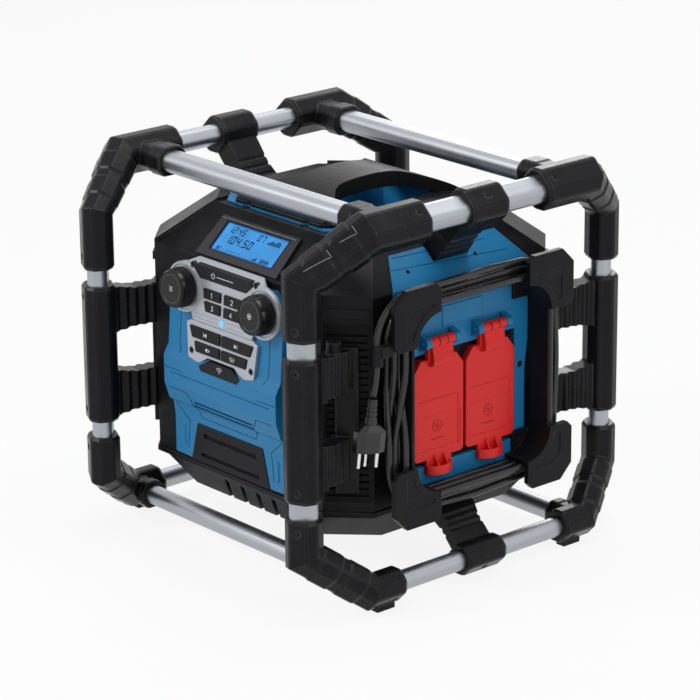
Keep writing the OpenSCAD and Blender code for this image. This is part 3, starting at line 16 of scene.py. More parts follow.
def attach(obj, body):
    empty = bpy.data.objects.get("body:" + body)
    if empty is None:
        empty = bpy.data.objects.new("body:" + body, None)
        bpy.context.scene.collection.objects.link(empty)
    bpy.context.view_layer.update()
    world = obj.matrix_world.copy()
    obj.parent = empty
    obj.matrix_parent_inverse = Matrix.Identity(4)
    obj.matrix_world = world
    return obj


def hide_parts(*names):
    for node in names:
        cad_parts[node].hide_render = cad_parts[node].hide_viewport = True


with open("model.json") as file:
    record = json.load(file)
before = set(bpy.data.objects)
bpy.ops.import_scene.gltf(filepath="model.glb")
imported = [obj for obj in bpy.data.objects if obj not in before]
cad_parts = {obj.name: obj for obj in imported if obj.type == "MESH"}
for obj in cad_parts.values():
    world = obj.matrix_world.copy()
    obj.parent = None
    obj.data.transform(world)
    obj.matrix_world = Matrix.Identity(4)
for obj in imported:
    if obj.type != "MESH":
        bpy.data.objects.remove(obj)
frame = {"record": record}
bodies = frame["record"]["behaviour"]["bodies"]
solids = {node: bpy.data.objects[node] for nodes in bodies.values() for node in nodes}
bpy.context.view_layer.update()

# %% [markdown]
# ## Camera
# The radio is seen from its front right corner, a little from above, through a long lens.
# A long lens keeps the tubes nearly parallel. The camera is placed by an azimuth, an
# elevation and a distance from the point that it looks at, because those three say what
# the viewer sees better than a bare position does.

# %% Camera
AZIMUTH, ELEVATION = math.radians(48.95), math.radians(18.63)
LOOK_AT = Vector((-0.0007, -0.0008, 0.1868))
CAMERA_FAR = 3.3067                       # metres from the point it looks at
CAMERA_ROLL = -0.009                      # radians
SENSOR = 36                               # millimetres
FOCAL_WIDTHS = 3291.1 / 700               # focal length in picture widths
towards_camera = Vector((math.sin(AZIMUTH) * math.cos(ELEVATION),
                         -math.cos(AZIMUTH) * math.cos(ELEVATION), math.sin(ELEVATION)))
camera_data = bpy.data.cameras.new("camera")
camera_data.sensor_width = SENSOR
camera_data.lens = SENSOR * FOCAL_WIDTHS
camera_data.clip_end = 50
camera = bpy.data.objects.new("camera", camera_data)
camera.location = LOOK_AT + CAMERA_FAR * towards_camera
camera.rotation_euler = ((-towards_camera).to_track_quat("-Z", "Y").to_matrix()
                         @ Matrix.Rotation(CAMERA_ROLL, 3, "Z")).to_euler()
bpy.context.collection.objects.link(camera)
bpy.context.scene.camera = camera
print("camera at", [round(c, 3) for c in camera.location], "lens", round(camera_data.lens, 1), "mm")

# %% [markdown]
# ## Floor, backdrop and lamps
# Black mouldings are drawn by the light that runs along their edges, so the lamps are
# large and soft: a key light from the front left, a fill from the right, one overhead, and
# a strip high at the back that rims the tubes. The world gives a little grey light, and
# shows white wherever it is looked at, also in a reflection or through glass. Making the
# world itself brighter would light the object as well and wash its colours out, so the
# white is only for those rays. The floor is treated alike and keeps a soft shadow.

# %% Shader nodes
def fill(tree, socket, value):
    """Give an input a number, a colour or what another socket gives."""
    if isinstance(value, bpy.types.NodeSocket):
        tree.links.new(value, socket)
    else:
        socket.default_value = value


def node_of(tree, kind, operation=None, **inputs):
    """A new shader node with some inputs set, each to a number, a colour or a socket.

    An input is called by its name, or as i0, i1 and so on by its number."""
    node = tree.nodes.new(kind)
    if operation:
        node.operation = operation
    for name, value in inputs.items():
        numbered = name[0] == "i" and name[1:].isdigit()
        fill(tree, node.inputs[int(name[1:]) if numbered else name.replace("_", " ")], value)
    return node


def math_of(tree, operation, **inputs):
    """The result of a sum on two sockets or numbers."""
    return node_of(tree, "ShaderNodeMath", operation, **inputs).outputs[0]


def vector_math(tree, operation, result, **inputs):
    """One result of a sum on vectors."""
    return node_of(tree, "ShaderNodeVectorMath", operation, **inputs).outputs[result]


def looked_at(tree):
    """1 for a ray that comes from the camera, a reflection or a glass."""
    ray = node_of(tree, "ShaderNodeLightPath")
    either = ray.outputs["Is Camera Ray"]
    for kind in ("Is Glossy Ray", "Is Transmission Ray"):
        either = math_of(tree, "MAXIMUM", i0=either, i1=ray.outputs[kind])
    return either


print("helpers for shader nodes: fill, node_of, math_of, vector_math, looked_at")

# %% Floor
FLOOR_HALF = 6
FLOOR_LIFT = 0.88                         # share of plain white in the floor where it is looked at
WHITE = (1, 1, 1, 1)
floor_mesh = bpy.data.meshes.new("floor")
floor_corners = [(x * FLOOR_HALF, y * FLOOR_HALF, 0) for x, y in ((-1, -1), (1, -1), (1, 1), (-1, 1))]
floor_mesh.from_pydata(floor_corners, [], [(0, 1, 2, 3)])
floor = bpy.data.objects.new("floor", floor_mesh)
bpy.context.collection.objects.link(floor)
pale = bpy.data.materials.new("pale_floor")
pale.use_nodes = True
tree = pale.node_tree
tree.nodes.clear()
paint = node_of(tree, "ShaderNodeBsdfDiffuse", Color=(0.86, 0.86, 0.86, 1))
lift = node_of(tree, "ShaderNodeEmission", Color=WHITE, Strength=1.0)
share = math_of(tree, "MULTIPLY", i0=looked_at(tree), i1=FLOOR_LIFT)
both = node_of(tree, "ShaderNodeMixShader", i0=share, i1=paint.outputs[0], i2=lift.outputs[0])
tree.links.new(both.outputs[0], node_of(tree, "ShaderNodeOutputMaterial").inputs[0])
floor_mesh.materials.append(pale)
print("floor:", 2 * FLOOR_HALF, "m wide")

# %% World
world = bpy.data.worlds.new("studio")
bpy.context.scene.world = world
world.use_nodes = True
tree = world.node_tree
tree.nodes.clear()
dim = node_of(tree, "ShaderNodeBackground", Color=(0.92, 0.95, 1, 1), Strength=0.35)
white = node_of(tree, "ShaderNodeBackground", Color=WHITE, Strength=1.0)
both = node_of(tree, "ShaderNodeMixShader", i0=looked_at(tree), i1=dim.outputs[0], i2=white.outputs[0])
tree.links.new(both.outputs[0], node_of(tree, "ShaderNodeOutputWorld").inputs[0])
bpy.context.scene.view_settings.view_transform = "Standard"
print("the world has", len(tree.nodes), "nodes")


# %% Lamps
def lamp(name, place, size, watts):
    """A soft rectangular lamp that faces the middle of the radio."""
    data = bpy.data.lights.new(name, "AREA")
    data.shape = "RECTANGLE"
    data.size, data.size_y = size
    data.energy = watts
    item = bpy.data.objects.new(name, data)
    item.location = place
    item.rotation_euler = (LOOK_AT - Vector(place)).to_track_quat("-Z", "Y").to_euler()
    bpy.context.collection.objects.link(item)
    print(name, watts, "W")


lamp("key_lamp", (-0.9, -2.1, 1.7), (0.8, 0.8), 33)
lamp("fill_lamp", (2.3, 0.1, 1.3), (0.7, 1.2), 12)
lamp("top_lamp", (0.2, 0.4, 2.2), (1.0, 1.0), 18)
lamp("rim_lamp", (-1.6, 1.9, 1.4), (0.5, 1.4), 9)

# %% [markdown]
# ## The wound mains cord
# The radio stores its cord round four hooks. A winding looks real only when it is one
# length of cord, so the path is made turn by turn: three turns lie against the guides,
# two lie on those and the last lies outside. Each turn shifts sideways on the left run,
# the way a hand lays it. The outermost turn then bends off the top and hangs through its
# clip to the plug. A tube is swept along the whole path in one piece.

# %% Size of the winding
CORD_D = 0.007
RING_HY, RING_HZ = 0.0913, 0.0938         # half width and half height inside the winding
RING_R = 0.0333                           # radius of its corners inside
RING_MID = 0.1965                         # height of its middle
LEFT_STEPS, CORNER_STEPS, RUN_STEPS = 16, 12, 10                  # points along each stretch
FIRST_STEP = 8                            # the first turn starts halfway down the left run
CORNERS = ((-1, -1, 180), (1, -1, 270), (1, 1, 0), (-1, 1, 90))   # side, height, first angle


def eased(f):
    """Starts and ends slowly, from 0 to 1."""
    f = min(max(f, 0.0), 1.0)
    return f * f * (3 - 2 * f)


print("the winding is", round(2 * (RING_HY + CORD_D), 3), "m wide over its first layer")


# %% One turn of the winding
def left_run(x_before, x_here, lay_before, lay_here, slack, first_step):
    """Points down the left run, where the turn shifts to its own place."""
    straight = RING_HZ - RING_R
    points = []
    for i in range(first_step, LEFT_STEPS):
        f = i / LEFT_STEPS
        shift = eased((f - 0.15) / 0.7)
        lay = lay_before + (lay_here - lay_before) * shift
        bow = slack * math.sin(math.pi * f) ** 2
        points.append((x_before + (x_here - x_before) * shift, -(RING_HY + lay) - bow,
                       RING_MID + straight * (1 - 2 * f)))
    return points


def one_turn(x_before, x_here, lay_before, lay_here, slack, first=False):
    """Points of one turn: left run, bottom, right run and back along the top."""
    hy, hz, r = RING_HY + lay_here, RING_HZ + lay_here, RING_R + lay_here
    points = left_run(x_before, x_here, lay_before, lay_here, slack, FIRST_STEP if first else 0)
    for index, (sy, sz, start) in enumerate(CORNERS):
        for i in range(CORNER_STEPS):
            a = math.radians(start + 90 * i / CORNER_STEPS)
            points.append((x_here, sy * (hy - r) + r * math.cos(a),
                           RING_MID + sz * (hz - r) + r * math.sin(a)))
        if index == len(CORNERS) - 1:
            break
        end = CORNERS[index + 1]
        for i in range(RUN_STEPS):
            f = i / RUN_STEPS
            a = math.radians(start + 90)
            y = (sy + (end[0] - sy) * f) * (hy - r) + r * math.cos(a)
            z = RING_MID + (sz + (end[1] - sz) * f) * (hz - r) + r * math.sin(a)
            bow = slack * math.sin(math.pi * f) ** 2
            points.append((x_here, y + bow * math.cos(a), z + bow * math.sin(a)))
    return points


print("one turn has", len(one_turn(0, 0, 0, 0, 0)), "points")

# %% Path of the winding
LAYS = (0.00365, 0.0107, 0.01745)         # how far each layer's middle lies outside the inner face
TURNS = [(0.1672, 0, 0.0), (0.1770, 0, 0.0), (0.1870, 0, 0.0),    # place across, layer and slack
         (0.1790, 1, 0.0002), (0.1695, 1, 0.0006), (0.1790, 2, 0.0022)]
route = []
for k, (x, lay, slack) in enumerate(TURNS):
    x_was, lay_was, _ = TURNS[max(k - 1, 0)]
    route += one_turn(x_was, x, LAYS[lay_was], LAYS[lay], slack, first=(k == 0))
print("points along the winding:", len(route))

# %% Route of the free end
TAIL_X, TAIL_TOP, TAIL_R = 0.187, 0.311, 0.045   # where the end leaves the winding, and its bend
CLIP_AT = Vector((0.184, -0.129, 0.256))
PLUG_AT = Vector((0.1823, -0.1321, 0.214))       # where the cord enters the plug
DROP = [(0.184, -0.129, 0.246), (0.1839, -0.1294, 0.238), (0.1835, -0.1303, 0.230), (0.1829, -0.1313, 0.222)]
route = route[:-CORNER_STEPS]                    # the outermost turn leaves before the upper left hook
for i in range(RUN_STEPS):                       # its last run rises to where it leaves
    x, y, z = route[i - RUN_STEPS]
    f = eased(i / (RUN_STEPS - 1))
    route[i - RUN_STEPS] = (x + (TAIL_X - x) * f, y, z + (TAIL_TOP - z) * f)
bend_y, bend_z = CLIP_AT.y + TAIL_R, CLIP_AT.z + 0.010            # middle of the bend
route += [(TAIL_X, bend_y + y, bend_z + TAIL_R) for y in (0.024, 0.010)]
for turned in range(90, 181, 10):
    a = math.radians(turned)
    route.append((TAIL_X - (TAIL_X - CLIP_AT.x) * (turned - 90) / 90, bend_y + TAIL_R * math.cos(a),
                  bend_z + TAIL_R * math.sin(a)))
route += [tuple(CLIP_AT), *DROP, tuple(PLUG_AT + Vector((0, 0, 0.0005)))]
route = [Vector(p) for p in route]

# %% [markdown]
# ## Sweeping a tube
# A round section is carried along the path without twisting: each new frame is the last
# one, turned by the smallest angle that makes it face the new direction. The same sweep
# takes a list of radii, so it also makes the tapered and ribbed relief where the cord
# comes out of the housing.

# %% New pieces
def new_piece(name, verts, faces, material, body, slot, smooth=True):
    """A mesh object with a finish, on a body of the radio."""
    mesh = bpy.data.meshes.new(name)
    mesh.from_pydata([tuple(v) for v in verts], [], faces)
    mesh.update()
    if smooth:
        mesh.polygons.foreach_set("use_smooth", [True] * len(mesh.polygons))
    piece = bpy.data.objects.new(name, mesh)
    bpy.context.collection.objects.link(piece)
    mesh.materials.append(material)
    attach(piece, body)
    return piece


# %% Tubes along a path
def tube(points, radii, sides=16):
    """Corners and faces of a round tube with closed ends and its own radius at each point."""
    points = [Vector(p) for p in points]
    verts, faces = [], []
    direction = (points[1] - points[0]).normalized()
    side = direction.orthogonal().normalized()
    for i, p in enumerate(points):
        ahead = points[min(i + 1, len(points) - 1)] - points[max(i - 1, 0)]
        turn = direction.rotation_difference(ahead.normalized())
        direction = ahead.normalized()
        side = turn @ side
        side = (side - direction * side.dot(direction)).normalized()
        up = direction.cross(side)
        for k in range(sides):
            a = math.tau * k / sides
            verts.append(p + radii[i] * (math.cos(a) * side + math.sin(a) * up))
    for i in range(len(points) - 1):
        for k in range(sides):
            a, b = i * sides + k, i * sides + (k + 1) % sides
            faces.append((a, b, b + sides, a + sides))
    faces.append(tuple(range(sides - 1, -1, -1)))
    faces.append(tuple(range(len(verts) - sides, len(verts))))
    return verts, faces


print("a tube of three points has", len(tube([(0, 0, 0), (0, 0, 1), (0, 0, 2)], [1, 1, 1])[1]), "faces")

# %% [markdown]
# ## Finishes
# Every finish is made from noise in the object's own coordinates, so it needs no unwrapped
# surface and stays put when a piece moves. A moulded plastic has three scales: a fine
# grain that only bends the light, a slow change in gloss where hands have polished it, and
# a little pale dust. The bevel node rounds the CAD model's sharp edges in the shading, so
# each edge catches a thin highlight, and the same node finds the edges, which are painted
# paler: partly wear, partly a painted highlight.

# %% Ranges, mixes and soft edges
def between(tree, value, low, high, to_low=0.0, to_high=1.0):
    """The value moved from one range to another and kept inside it."""
    node = node_of(tree, "ShaderNodeMapRange", Value=value, From_Min=low, From_Max=high,
                   To_Min=to_low, To_Max=to_high)
    return node.outputs["Result"]


def blend_colour(tree, share, first, second):
    """A colour between two others."""
    node = tree.nodes.new("ShaderNodeMix")
    node.data_type = "RGBA"               # its colour sockets have the numbers 6 and 7, and 2
    for number, value in ((0, share), (6, first), (7, second)):
        fill(tree, node.inputs[number], value)
    return node.outputs[2]


def noise(tree, place, **how):
    """The grey value of a noise."""
    return node_of(tree, "ShaderNodeTexNoise", Vector=place, **how).outputs[0]


EDGE_STARTS, EDGE_FULL = 0.995, 0.86      # how far the rounded normal still agrees with the flat one


def soft_edges(tree, radius):
    """A rounded normal, and how near an edge the surface is."""
    bevel = node_of(tree, "ShaderNodeBevel", Radius=radius)
    bevel.samples = 4
    flat = node_of(tree, "ShaderNodeNewGeometry").outputs["Normal"]
    agrees = vector_math(tree, "DOT_PRODUCT", "Value", i0=bevel.outputs[0], i1=flat)
    return bevel.outputs[0], between(tree, agrees, EDGE_STARTS, EDGE_FULL)


def new_finish(name):
    """A new material, its node tree, its shader and a socket with the place on the object."""
    material = bpy.data.materials.new(name)
    material.use_nodes = True
    tree = material.node_tree
    place = node_of(tree, "ShaderNodeTexCoord").outputs["Object"]
    return material, tree, tree.nodes["Principled BSDF"], place


print("helpers for finishes: between, blend_colour, noise, soft_edges, new_finish")

# %% A moulded finish
DUST_GREY, DUST_SHARE = 0.55, 0.35        # the grey that dust, edge wear and the painted edge highlight tend to, and how far


def moulded(name, colour, rough, grain=0.00045, depth=0.00004, dust=0.05, wear_and_highlight=0.12, edge=0.0011,
            coat=0.0, shine=0.5):
    """A moulded plastic or rubber with grain, uneven gloss, dust, and edges painted paler for wear and as a
    painted highlight.
    """
    material, tree, shader, place = new_finish(name)
    fine = noise(tree, place, Scale=1 / grain, Detail=3.0, Roughness=0.6)
    slow = noise(tree, place, Scale=26.0, Detail=5.0, Roughness=0.62)
    normal, near_edge = soft_edges(tree, edge)
    pale = tuple(c + (DUST_GREY - c) * DUST_SHARE for c in colour) + (1,)
    dusty = blend_colour(tree, between(tree, slow, 0.52, 0.8, 0.0, dust), colour + (1,), pale)
    # Edges are blended towards the pale grey: partly wear, partly a painted highlight along each edge.
    patches = between(tree, slow, 0.35, 0.6, 0.25 * wear_and_highlight, wear_and_highlight)
    edge_wear_and_highlight = math_of(tree, "MULTIPLY", i0=near_edge, i1=patches)
    tree.links.new(blend_colour(tree, edge_wear_and_highlight, dusty, pale), shader.inputs["Base Color"])
    tree.links.new(between(tree, slow, 0.3, 0.7, rough - 0.06, rough + 0.08), shader.inputs["Roughness"])
    bump = node_of(tree, "ShaderNodeBump", Height=fine, Normal=normal, Strength=0.55, Distance=depth)
    tree.links.new(bump.outputs[0], shader.inputs["Normal"])
    shader.inputs["Specular IOR Level"].default_value = shine
    shader.inputs["Coat Weight"].default_value = coat
    shader.inputs["Coat Roughness"].default_value = 0.18
    return material


def printed(name, colour, rough, depth=0.00001, edge=0.0001, **more):
    """A clean ink or a line without dust, wear or painted edge highlight."""
    return moulded(name, colour, rough, depth=depth, dust=0.0, wear_and_highlight=0.0, edge=edge, **more)


print("helpers for moulded and printed finishes: moulded, printed")

# %% Moulded finishes
finishes = {
    # The cage's edges are painted much paler: a little wear, and mostly a painted highlight.
    "cage_rubber": moulded("cage_moulding", (0.008, 0.008, 0.0095), 0.27, depth=0.00002, dust=0.03,
                           wear_and_highlight=0.34, edge=0.0026, shine=0.14),
    "black_plastic": moulded("black_housing", (0.009, 0.009, 0.0105), 0.36, depth=0.00005, dust=0.04,
                             wear_and_highlight=0.22, shine=0.12),
    "grille_black": moulded("black_grille", (0.004, 0.004, 0.0045), 0.45, grain=0.0009, dust=0.03,
                            shine=0.12),
    "blue_plastic": moulded("blue_housing", (0.011, 0.18, 0.385), 0.4, depth=0.00005, shine=0.3),
    "key_black": moulded("key_rubber", (0.007, 0.007, 0.009), 0.5, grain=0.0003, dust=0.02,
                         edge=0.0006, shine=0.2),
    "knob_black": moulded("knob_plastic", (0.007, 0.007, 0.008), 0.26, grain=0.0003, depth=0.00001,
                          dust=0.02, edge=0.0006, shine=0.25),
    "red_plastic": moulded("red_cover", (0.78, 0.019, 0.016), 0.33, depth=0.00003, dust=0.03,
                           wear_and_highlight=0.08, shine=0.3),
    "cord_rubber": moulded("cord_rubber", (0.012, 0.012, 0.013), 0.27, grain=0.0006, depth=0.00002,
                           dust=0.03, edge=0.0004, shine=0.5),
    "black_screws": moulded("black_screws", (0.003, 0.003, 0.0035), 0.3, grain=0.0004, dust=0.0,
                            wear_and_highlight=0.6, edge=0.0006, shine=0.3),
    "blue_seam": printed("blue_seam", (0.003, 0.045, 0.1), 0.5, 0.00002, 0.0002, shine=0.1),
    # Near black: dark joints, and a painted shade in the screw holes of the outlet panel.
    "black_seam_and_hole_shade": printed("black_seam_and_hole_shade", (0.002, 0.002, 0.002), 0.5, 0.00002, 0.0002, shine=0.05),
    # A pale grey for lines that are a painted highlight: a knob's rim, the top of the display's frame and the
    # limbs' slits.
    "pale_highlight_line": printed("pale_highlight_line", (0.2, 0.2, 0.21), 0.3, edge=0.0002),
    "red_shade": printed("red_sign_shade", (0.4, 0.012, 0.01), 0.4, 0.00002, 0.0003, shine=0.3),
}
print("moulded finishes:", len(finishes))

# %% [markdown]
# ## Metals and lit parts
# The tubes are drawn aluminium: fine lines run along them, so the noise is stretched along
# each tube's own direction. Plated and turned steel is smoother. The control plate is a
# silver paint with fine flakes under a clear coat. The display and the small lens give off
# their own light, which is what makes them read as switched on. The display's light comes
# from behind, so it fades near its frame: its distance from the middle, measured along
# two directions, mixes the bright blue with a deep one.

# %% Metals
def drawn_metal(name, colour, rough, stretch, lines=0.00006):
    """A metal with fine lines; stretch is how often the noise repeats per metre along x, y and z."""
    material, tree, shader, place = new_finish(name)
    shader.inputs["Metallic"].default_value = 1.0
    along = node_of(tree, "ShaderNodeMapping", Vector=place, Scale=stretch).outputs[0]
    streaks = noise(tree, along, Scale=1.0, Detail=4.0, Roughness=0.7)
    slow = noise(tree, place, Scale=34.0, Detail=3.0)
    dark = tuple(c * 0.86 for c in colour) + (1,)
    shade = blend_colour(tree, between(tree, streaks, 0.3, 0.7), dark, colour + (1,))
    tree.links.new(shade, shader.inputs["Base Color"])
    gloss = math_of(tree, "ADD", i0=between(tree, streaks, 0.25, 0.75, rough - 0.06, rough + 0.08),
                    i1=between(tree, slow, 0.4, 0.8, 0.0, 0.08))
    tree.links.new(gloss, shader.inputs["Roughness"])
    normal, _ = soft_edges(tree, 0.0005)
    bump = node_of(tree, "ShaderNodeBump", Height=streaks, Normal=normal, Strength=0.35, Distance=lines)
    tree.links.new(bump.outputs[0], shader.inputs["Normal"])
    return material


SILVER = (0.43, 0.45, 0.485)
ACROSS, ALONG = 900, 9                    # repeats of the drawn lines per metre
own_finish = {
    "post_tubes": drawn_metal("drawn_posts", SILVER, 0.36, (ACROSS, ACROSS, ALONG)),
    "side_rails": drawn_metal("drawn_side_rails", SILVER, 0.36, (ACROSS, ALONG, ACROSS)),
    "cross_rails": drawn_metal("drawn_cross_rails", SILVER, 0.36, (ALONG, ACROSS, ACROSS)),
    "lcd_bezel": moulded("display_surround", (0.03, 0.03, 0.034), 0.24, depth=0.00001, dust=0.02,
                         wear_and_highlight=0.3, shine=0.25),
}
finishes["steel"] = drawn_metal("turned_steel", (0.6, 0.6, 0.61), 0.26, (400, 400, 400), 0.00002)
finishes["plug_metal"] = drawn_metal("plated_pins", (0.8, 0.79, 0.76), 0.2, (300, 300, 40), 0.00001)
print("finishes of single solids:", ", ".join(own_finish))


# %% Silver paint
FLAKES = 2600.0                           # per metre


def silver_paint():
    """A silver paint with fine flakes under a clear coat."""
    material = moulded("silver_paint", (0.42, 0.44, 0.48), 0.34, grain=0.0003, depth=0.00002, dust=0.02,
                       wear_and_highlight=0.05, edge=0.0007, coat=0.25)
    tree = material.node_tree
    shader = tree.nodes["Principled BSDF"]
    shader.inputs["Metallic"].default_value = 0.55
    place = node_of(tree, "ShaderNodeTexCoord").outputs["Object"]
    flakes = node_of(tree, "ShaderNodeTexVoronoi", Vector=place, Scale=FLAKES)
    sparkle = between(tree, flakes.outputs["Color"], 0.2, 0.9, 0.9, 1.12)
    plain = shader.inputs["Base Color"].links[0].from_socket
    tinted = vector_math(tree, "SCALE", 0, i0=plain, Scale=sparkle)
    tree.links.new(tinted, shader.inputs["Base Color"])
    return material


finishes["silver_plastic"] = silver_paint()
print("silver paint ready")


# %% Lit parts
def lit(name, colour, strength):
    """A smooth part that glows in its own colour; returns its material, colour and place."""
    material, tree, shader, place = new_finish(name)
    shader.inputs["Roughness"].default_value = 0.12
    shader.inputs["Specular IOR Level"].default_value = 0.2
    shader.inputs["Emission Strength"].default_value = strength
    slow = noise(tree, place, Scale=30.0, Detail=1.0)
    deep = tuple(c * 0.8 for c in colour) + (1,)
    shade = blend_colour(tree, between(tree, slow, 0.35, 0.65), deep, colour + (1,))
    for socket in ("Base Color", "Emission Color"):
        tree.links.new(shade, shader.inputs[socket])
    return material, shade, place


finishes["lens"] = lit("indicator_blue", (0.12, 0.42, 0.8), 1.0)[0]
print("the lens glows")

# %% Display light
FADE_STARTS, FADE_ENDS = 0.0028, 0.0006   # metres from the display's frame


def backlit(name, colour, edge_colour, strength, middle, up, half_wide, half_high, cell):
    """A display with a fine dot grid, whose light fades and deepens towards its four edges."""
    material, shade, place = lit(name, colour, strength)
    tree = material.node_tree
    from_middle = vector_math(tree, "SUBTRACT", 0, i0=place, i1=middle)
    rooms = []
    for axis, half in (((1, 0, 0), half_wide), (up, half_high)):
        along = vector_math(tree, "DOT_PRODUCT", "Value", i0=from_middle, i1=axis)
        size = math_of(tree, "ABSOLUTE", i0=along)
        rooms.append(between(tree, size, half - FADE_STARTS, half - FADE_ENDS, 1.0, 0.0))
    inward = math_of(tree, "MULTIPLY", i0=rooms[0], i1=rooms[1])
    dots = node_of(tree, "ShaderNodeTexVoronoi", Vector=place, Scale=1 / cell, Randomness=0.0)
    gaps = between(tree, dots.outputs["Distance"], 0.42, 0.6, 0.0, 0.25)
    grid = blend_colour(tree, gaps, shade, edge_colour + (1,))
    faded = blend_colour(tree, inward, edge_colour + (1,), grid)
    for socket in ("Base Color", "Emission Color"):
        tree.links.new(faded, tree.nodes["Principled BSDF"].inputs[socket])
    return material


SLOPE = math.atan2(46, 42)                # lean of the front slope from the vertical
SLOPE_UP = (0, math.sin(SLOPE), math.cos(SLOPE))
SLOPE_AT = (0, -0.1273, 0.3219)           # middle of the display
finishes["display"] = backlit("display_blue", (0.03, 0.21, 0.49), (0.006, 0.02, 0.1), 1.0, SLOPE_AT,
                              SLOPE_UP, half_wide=0.0468, half_high=0.0172, cell=0.0006)
print("finishes:", ", ".join(sorted(finishes)))

# %% Put the finishes on the solids
for part in frame["record"]["subparts"]:
    solid = solids[part["node"]]
    material = own_finish.get(part["node"]) or finishes[part["material_slot"]]
    solid.data.materials.clear()
    solid.data.materials.append(material)

# %% [markdown]
# ## The cord itself
# The tube stands for both cord solids of the CAD model, which are kept for collisions.
# Its first thirty millimetres run through a ribbed rubber relief, because a mains cord is
# never let out of a housing through a bare hole: the relief keeps it from bending sharply
# there.

# %% Cord and relief
RELIEF_RINGS, RELIEF_PITCH = 30, 0.0011
RELIEF_R, RELIEF_TAPER = 0.0044, 0.0007
WAIST = 0.86                              # share of the radius that is left between two ribs
wound_cord = new_piece("wound_cord", *tube(route, [CORD_D / 2] * len(route)), finishes["cord_rubber"],
                       "chassis", "cord_rubber")
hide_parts("cord_winding", "mains_cord")
relief_path = [route[0] + Vector((0, 0, 0.003 - RELIEF_PITCH * i)) for i in range(RELIEF_RINGS)]
relief_radii = [(RELIEF_R - RELIEF_TAPER * i / (RELIEF_RINGS - 1))
                * (WAIST if 4 < i < 27 and i % 4 in (0, 1) else 1.0) for i in range(RELIEF_RINGS)]
relief = new_piece("cord_relief", *tube(relief_path, relief_radii), finishes["cord_rubber"],
                   "chassis", "cord_rubber")
print("cord:", len(wound_cord.data.vertices), "points on its surface")

# %% [markdown]
# ## Marks on flat faces
# Printed marks are thin inlays that stand a tenth of a millimetre off the face. Each
# is drawn in millimetres in the plane of its face, across and up, and one matrix carries
# it there. A stroke is a ribbon of even width with mitred corners. The marks are plain:
# figures, arrows, a power ring, sliders and waves.

# %% Planes
MM = 0.001


def plane(origin, across, up):
    """A matrix from millimetres across, up and out of a face to metres."""
    across, up = Vector(across).normalized(), Vector(up).normalized()
    out = across.cross(up)
    matrix = Matrix((across, up, out)).transposed().to_4x4()
    matrix.translation = Vector(origin)
    return matrix @ Matrix.Diagonal((MM, MM, MM, 1))


DECK_LEAN = math.radians(4)
deck = plane((0, -0.165, 0.255), (1, 0, 0), (0, math.sin(DECK_LEAN), math.cos(DECK_LEAN)))
front_slope = plane(SLOPE_AT, (1, 0, 0), SLOPE_UP)
print("deck normal", [round(c, 3) for c in deck.to_3x3().col[2].normalized()])


# %% Strokes and shapes
def ribbon(points, width, closed=False):
    """Outlines of an even stroke along points: one polygon for each of its segments."""
    points = [Vector(p) for p in points]
    count = len(points)
    left, right = [], []
    for i, p in enumerate(points):
        before = points[i - 1] if closed or i else None
        after = points[(i + 1) % count] if closed or i < count - 1 else None
        a = (p - before).normalized() if before is not None else (after - p).normalized()
        b = (after - p).normalized() if after is not None else a
        normal = Vector((-(a.y + b.y), a.x + b.x)).normalized()
        reach = width / 2 / max(0.4, normal.dot(Vector((-a.y, a.x))))
        left.append(p + normal * reach)
        right.append(p - normal * reach)
    last = count if closed else count - 1
    return [[right[i], right[(i + 1) % count], left[(i + 1) % count], left[i]] for i in range(last)]


def ring(u, v, r, width, start=0, end=360, n=28):
    """A circular stroke, or an arc of one."""
    whole = end - start >= 360
    angles = [math.radians(start + (end - start) * i / n) for i in range(n if whole else n + 1)]
    return ribbon([(u + r * math.cos(a), v + r * math.sin(a)) for a in angles], width, closed=whole)


def dot(u, v, r, n=20):
    """A filled circle."""
    return [[(u + r * math.cos(math.tau * i / n), v + r * math.sin(math.tau * i / n)) for i in range(n)]]


def bar(u0, v0, u1, v1):
    """A rectangle between two corners."""
    return [[(u0, v0), (u1, v0), (u1, v1), (u0, v1)]]


print("a ring has", len(ring(0, 0, 1, 0.1)), "segments")

# %% Inlays
def inlay(name, matrix, outlines, out_from, out_to, material, body, slot):
    """The outlines as thin raised shapes on a plane."""
    verts, faces = [], []
    for outline in outlines:
        outline = [Vector((p[0], p[1])) for p in outline]
        area = sum(p.x * q.y - q.x * p.y for p, q in zip(outline, outline[1:] + outline[:1]))
        if area < 0:
            outline.reverse()
        n, base = len(outline), len(verts)
        verts += [matrix @ Vector((p.x, p.y, h)) for h in (out_from, out_to) for p in outline]
        faces.append(tuple(base + n + i for i in range(n)))
        faces.append(tuple(base + n - 1 - i for i in range(n)))
        faces += [(base + i, base + (i + 1) % n, base + n + (i + 1) % n, base + n + i) for i in range(n)]
    return new_piece(name, verts, faces, material, body, slot, smooth=False)


ink = printed("pale_ink", (0.72, 0.73, 0.74), 0.5, grain=0.0003)
dark_ink = printed("dark_ink", (0.02, 0.02, 0.022), 0.5, grain=0.0003)
print("inks:", ink.name, "and", dark_ink.name, "with", len(ink.node_tree.nodes), "nodes each")

# %% [markdown]
# ## Keys and knobs
# The four presets carry plain figures. The track keys have the usual arrows, the mute key a
# struck-out loudspeaker, its neighbour three sliders, and the lowest key radio waves. A
# knob is found by touch, so it gets fine flutes round its side, and its recessed face has
# a thin pale ring, a painted highlight on its rim, and a plain sign. Fine dark lines run
# across the plate beside the lens.

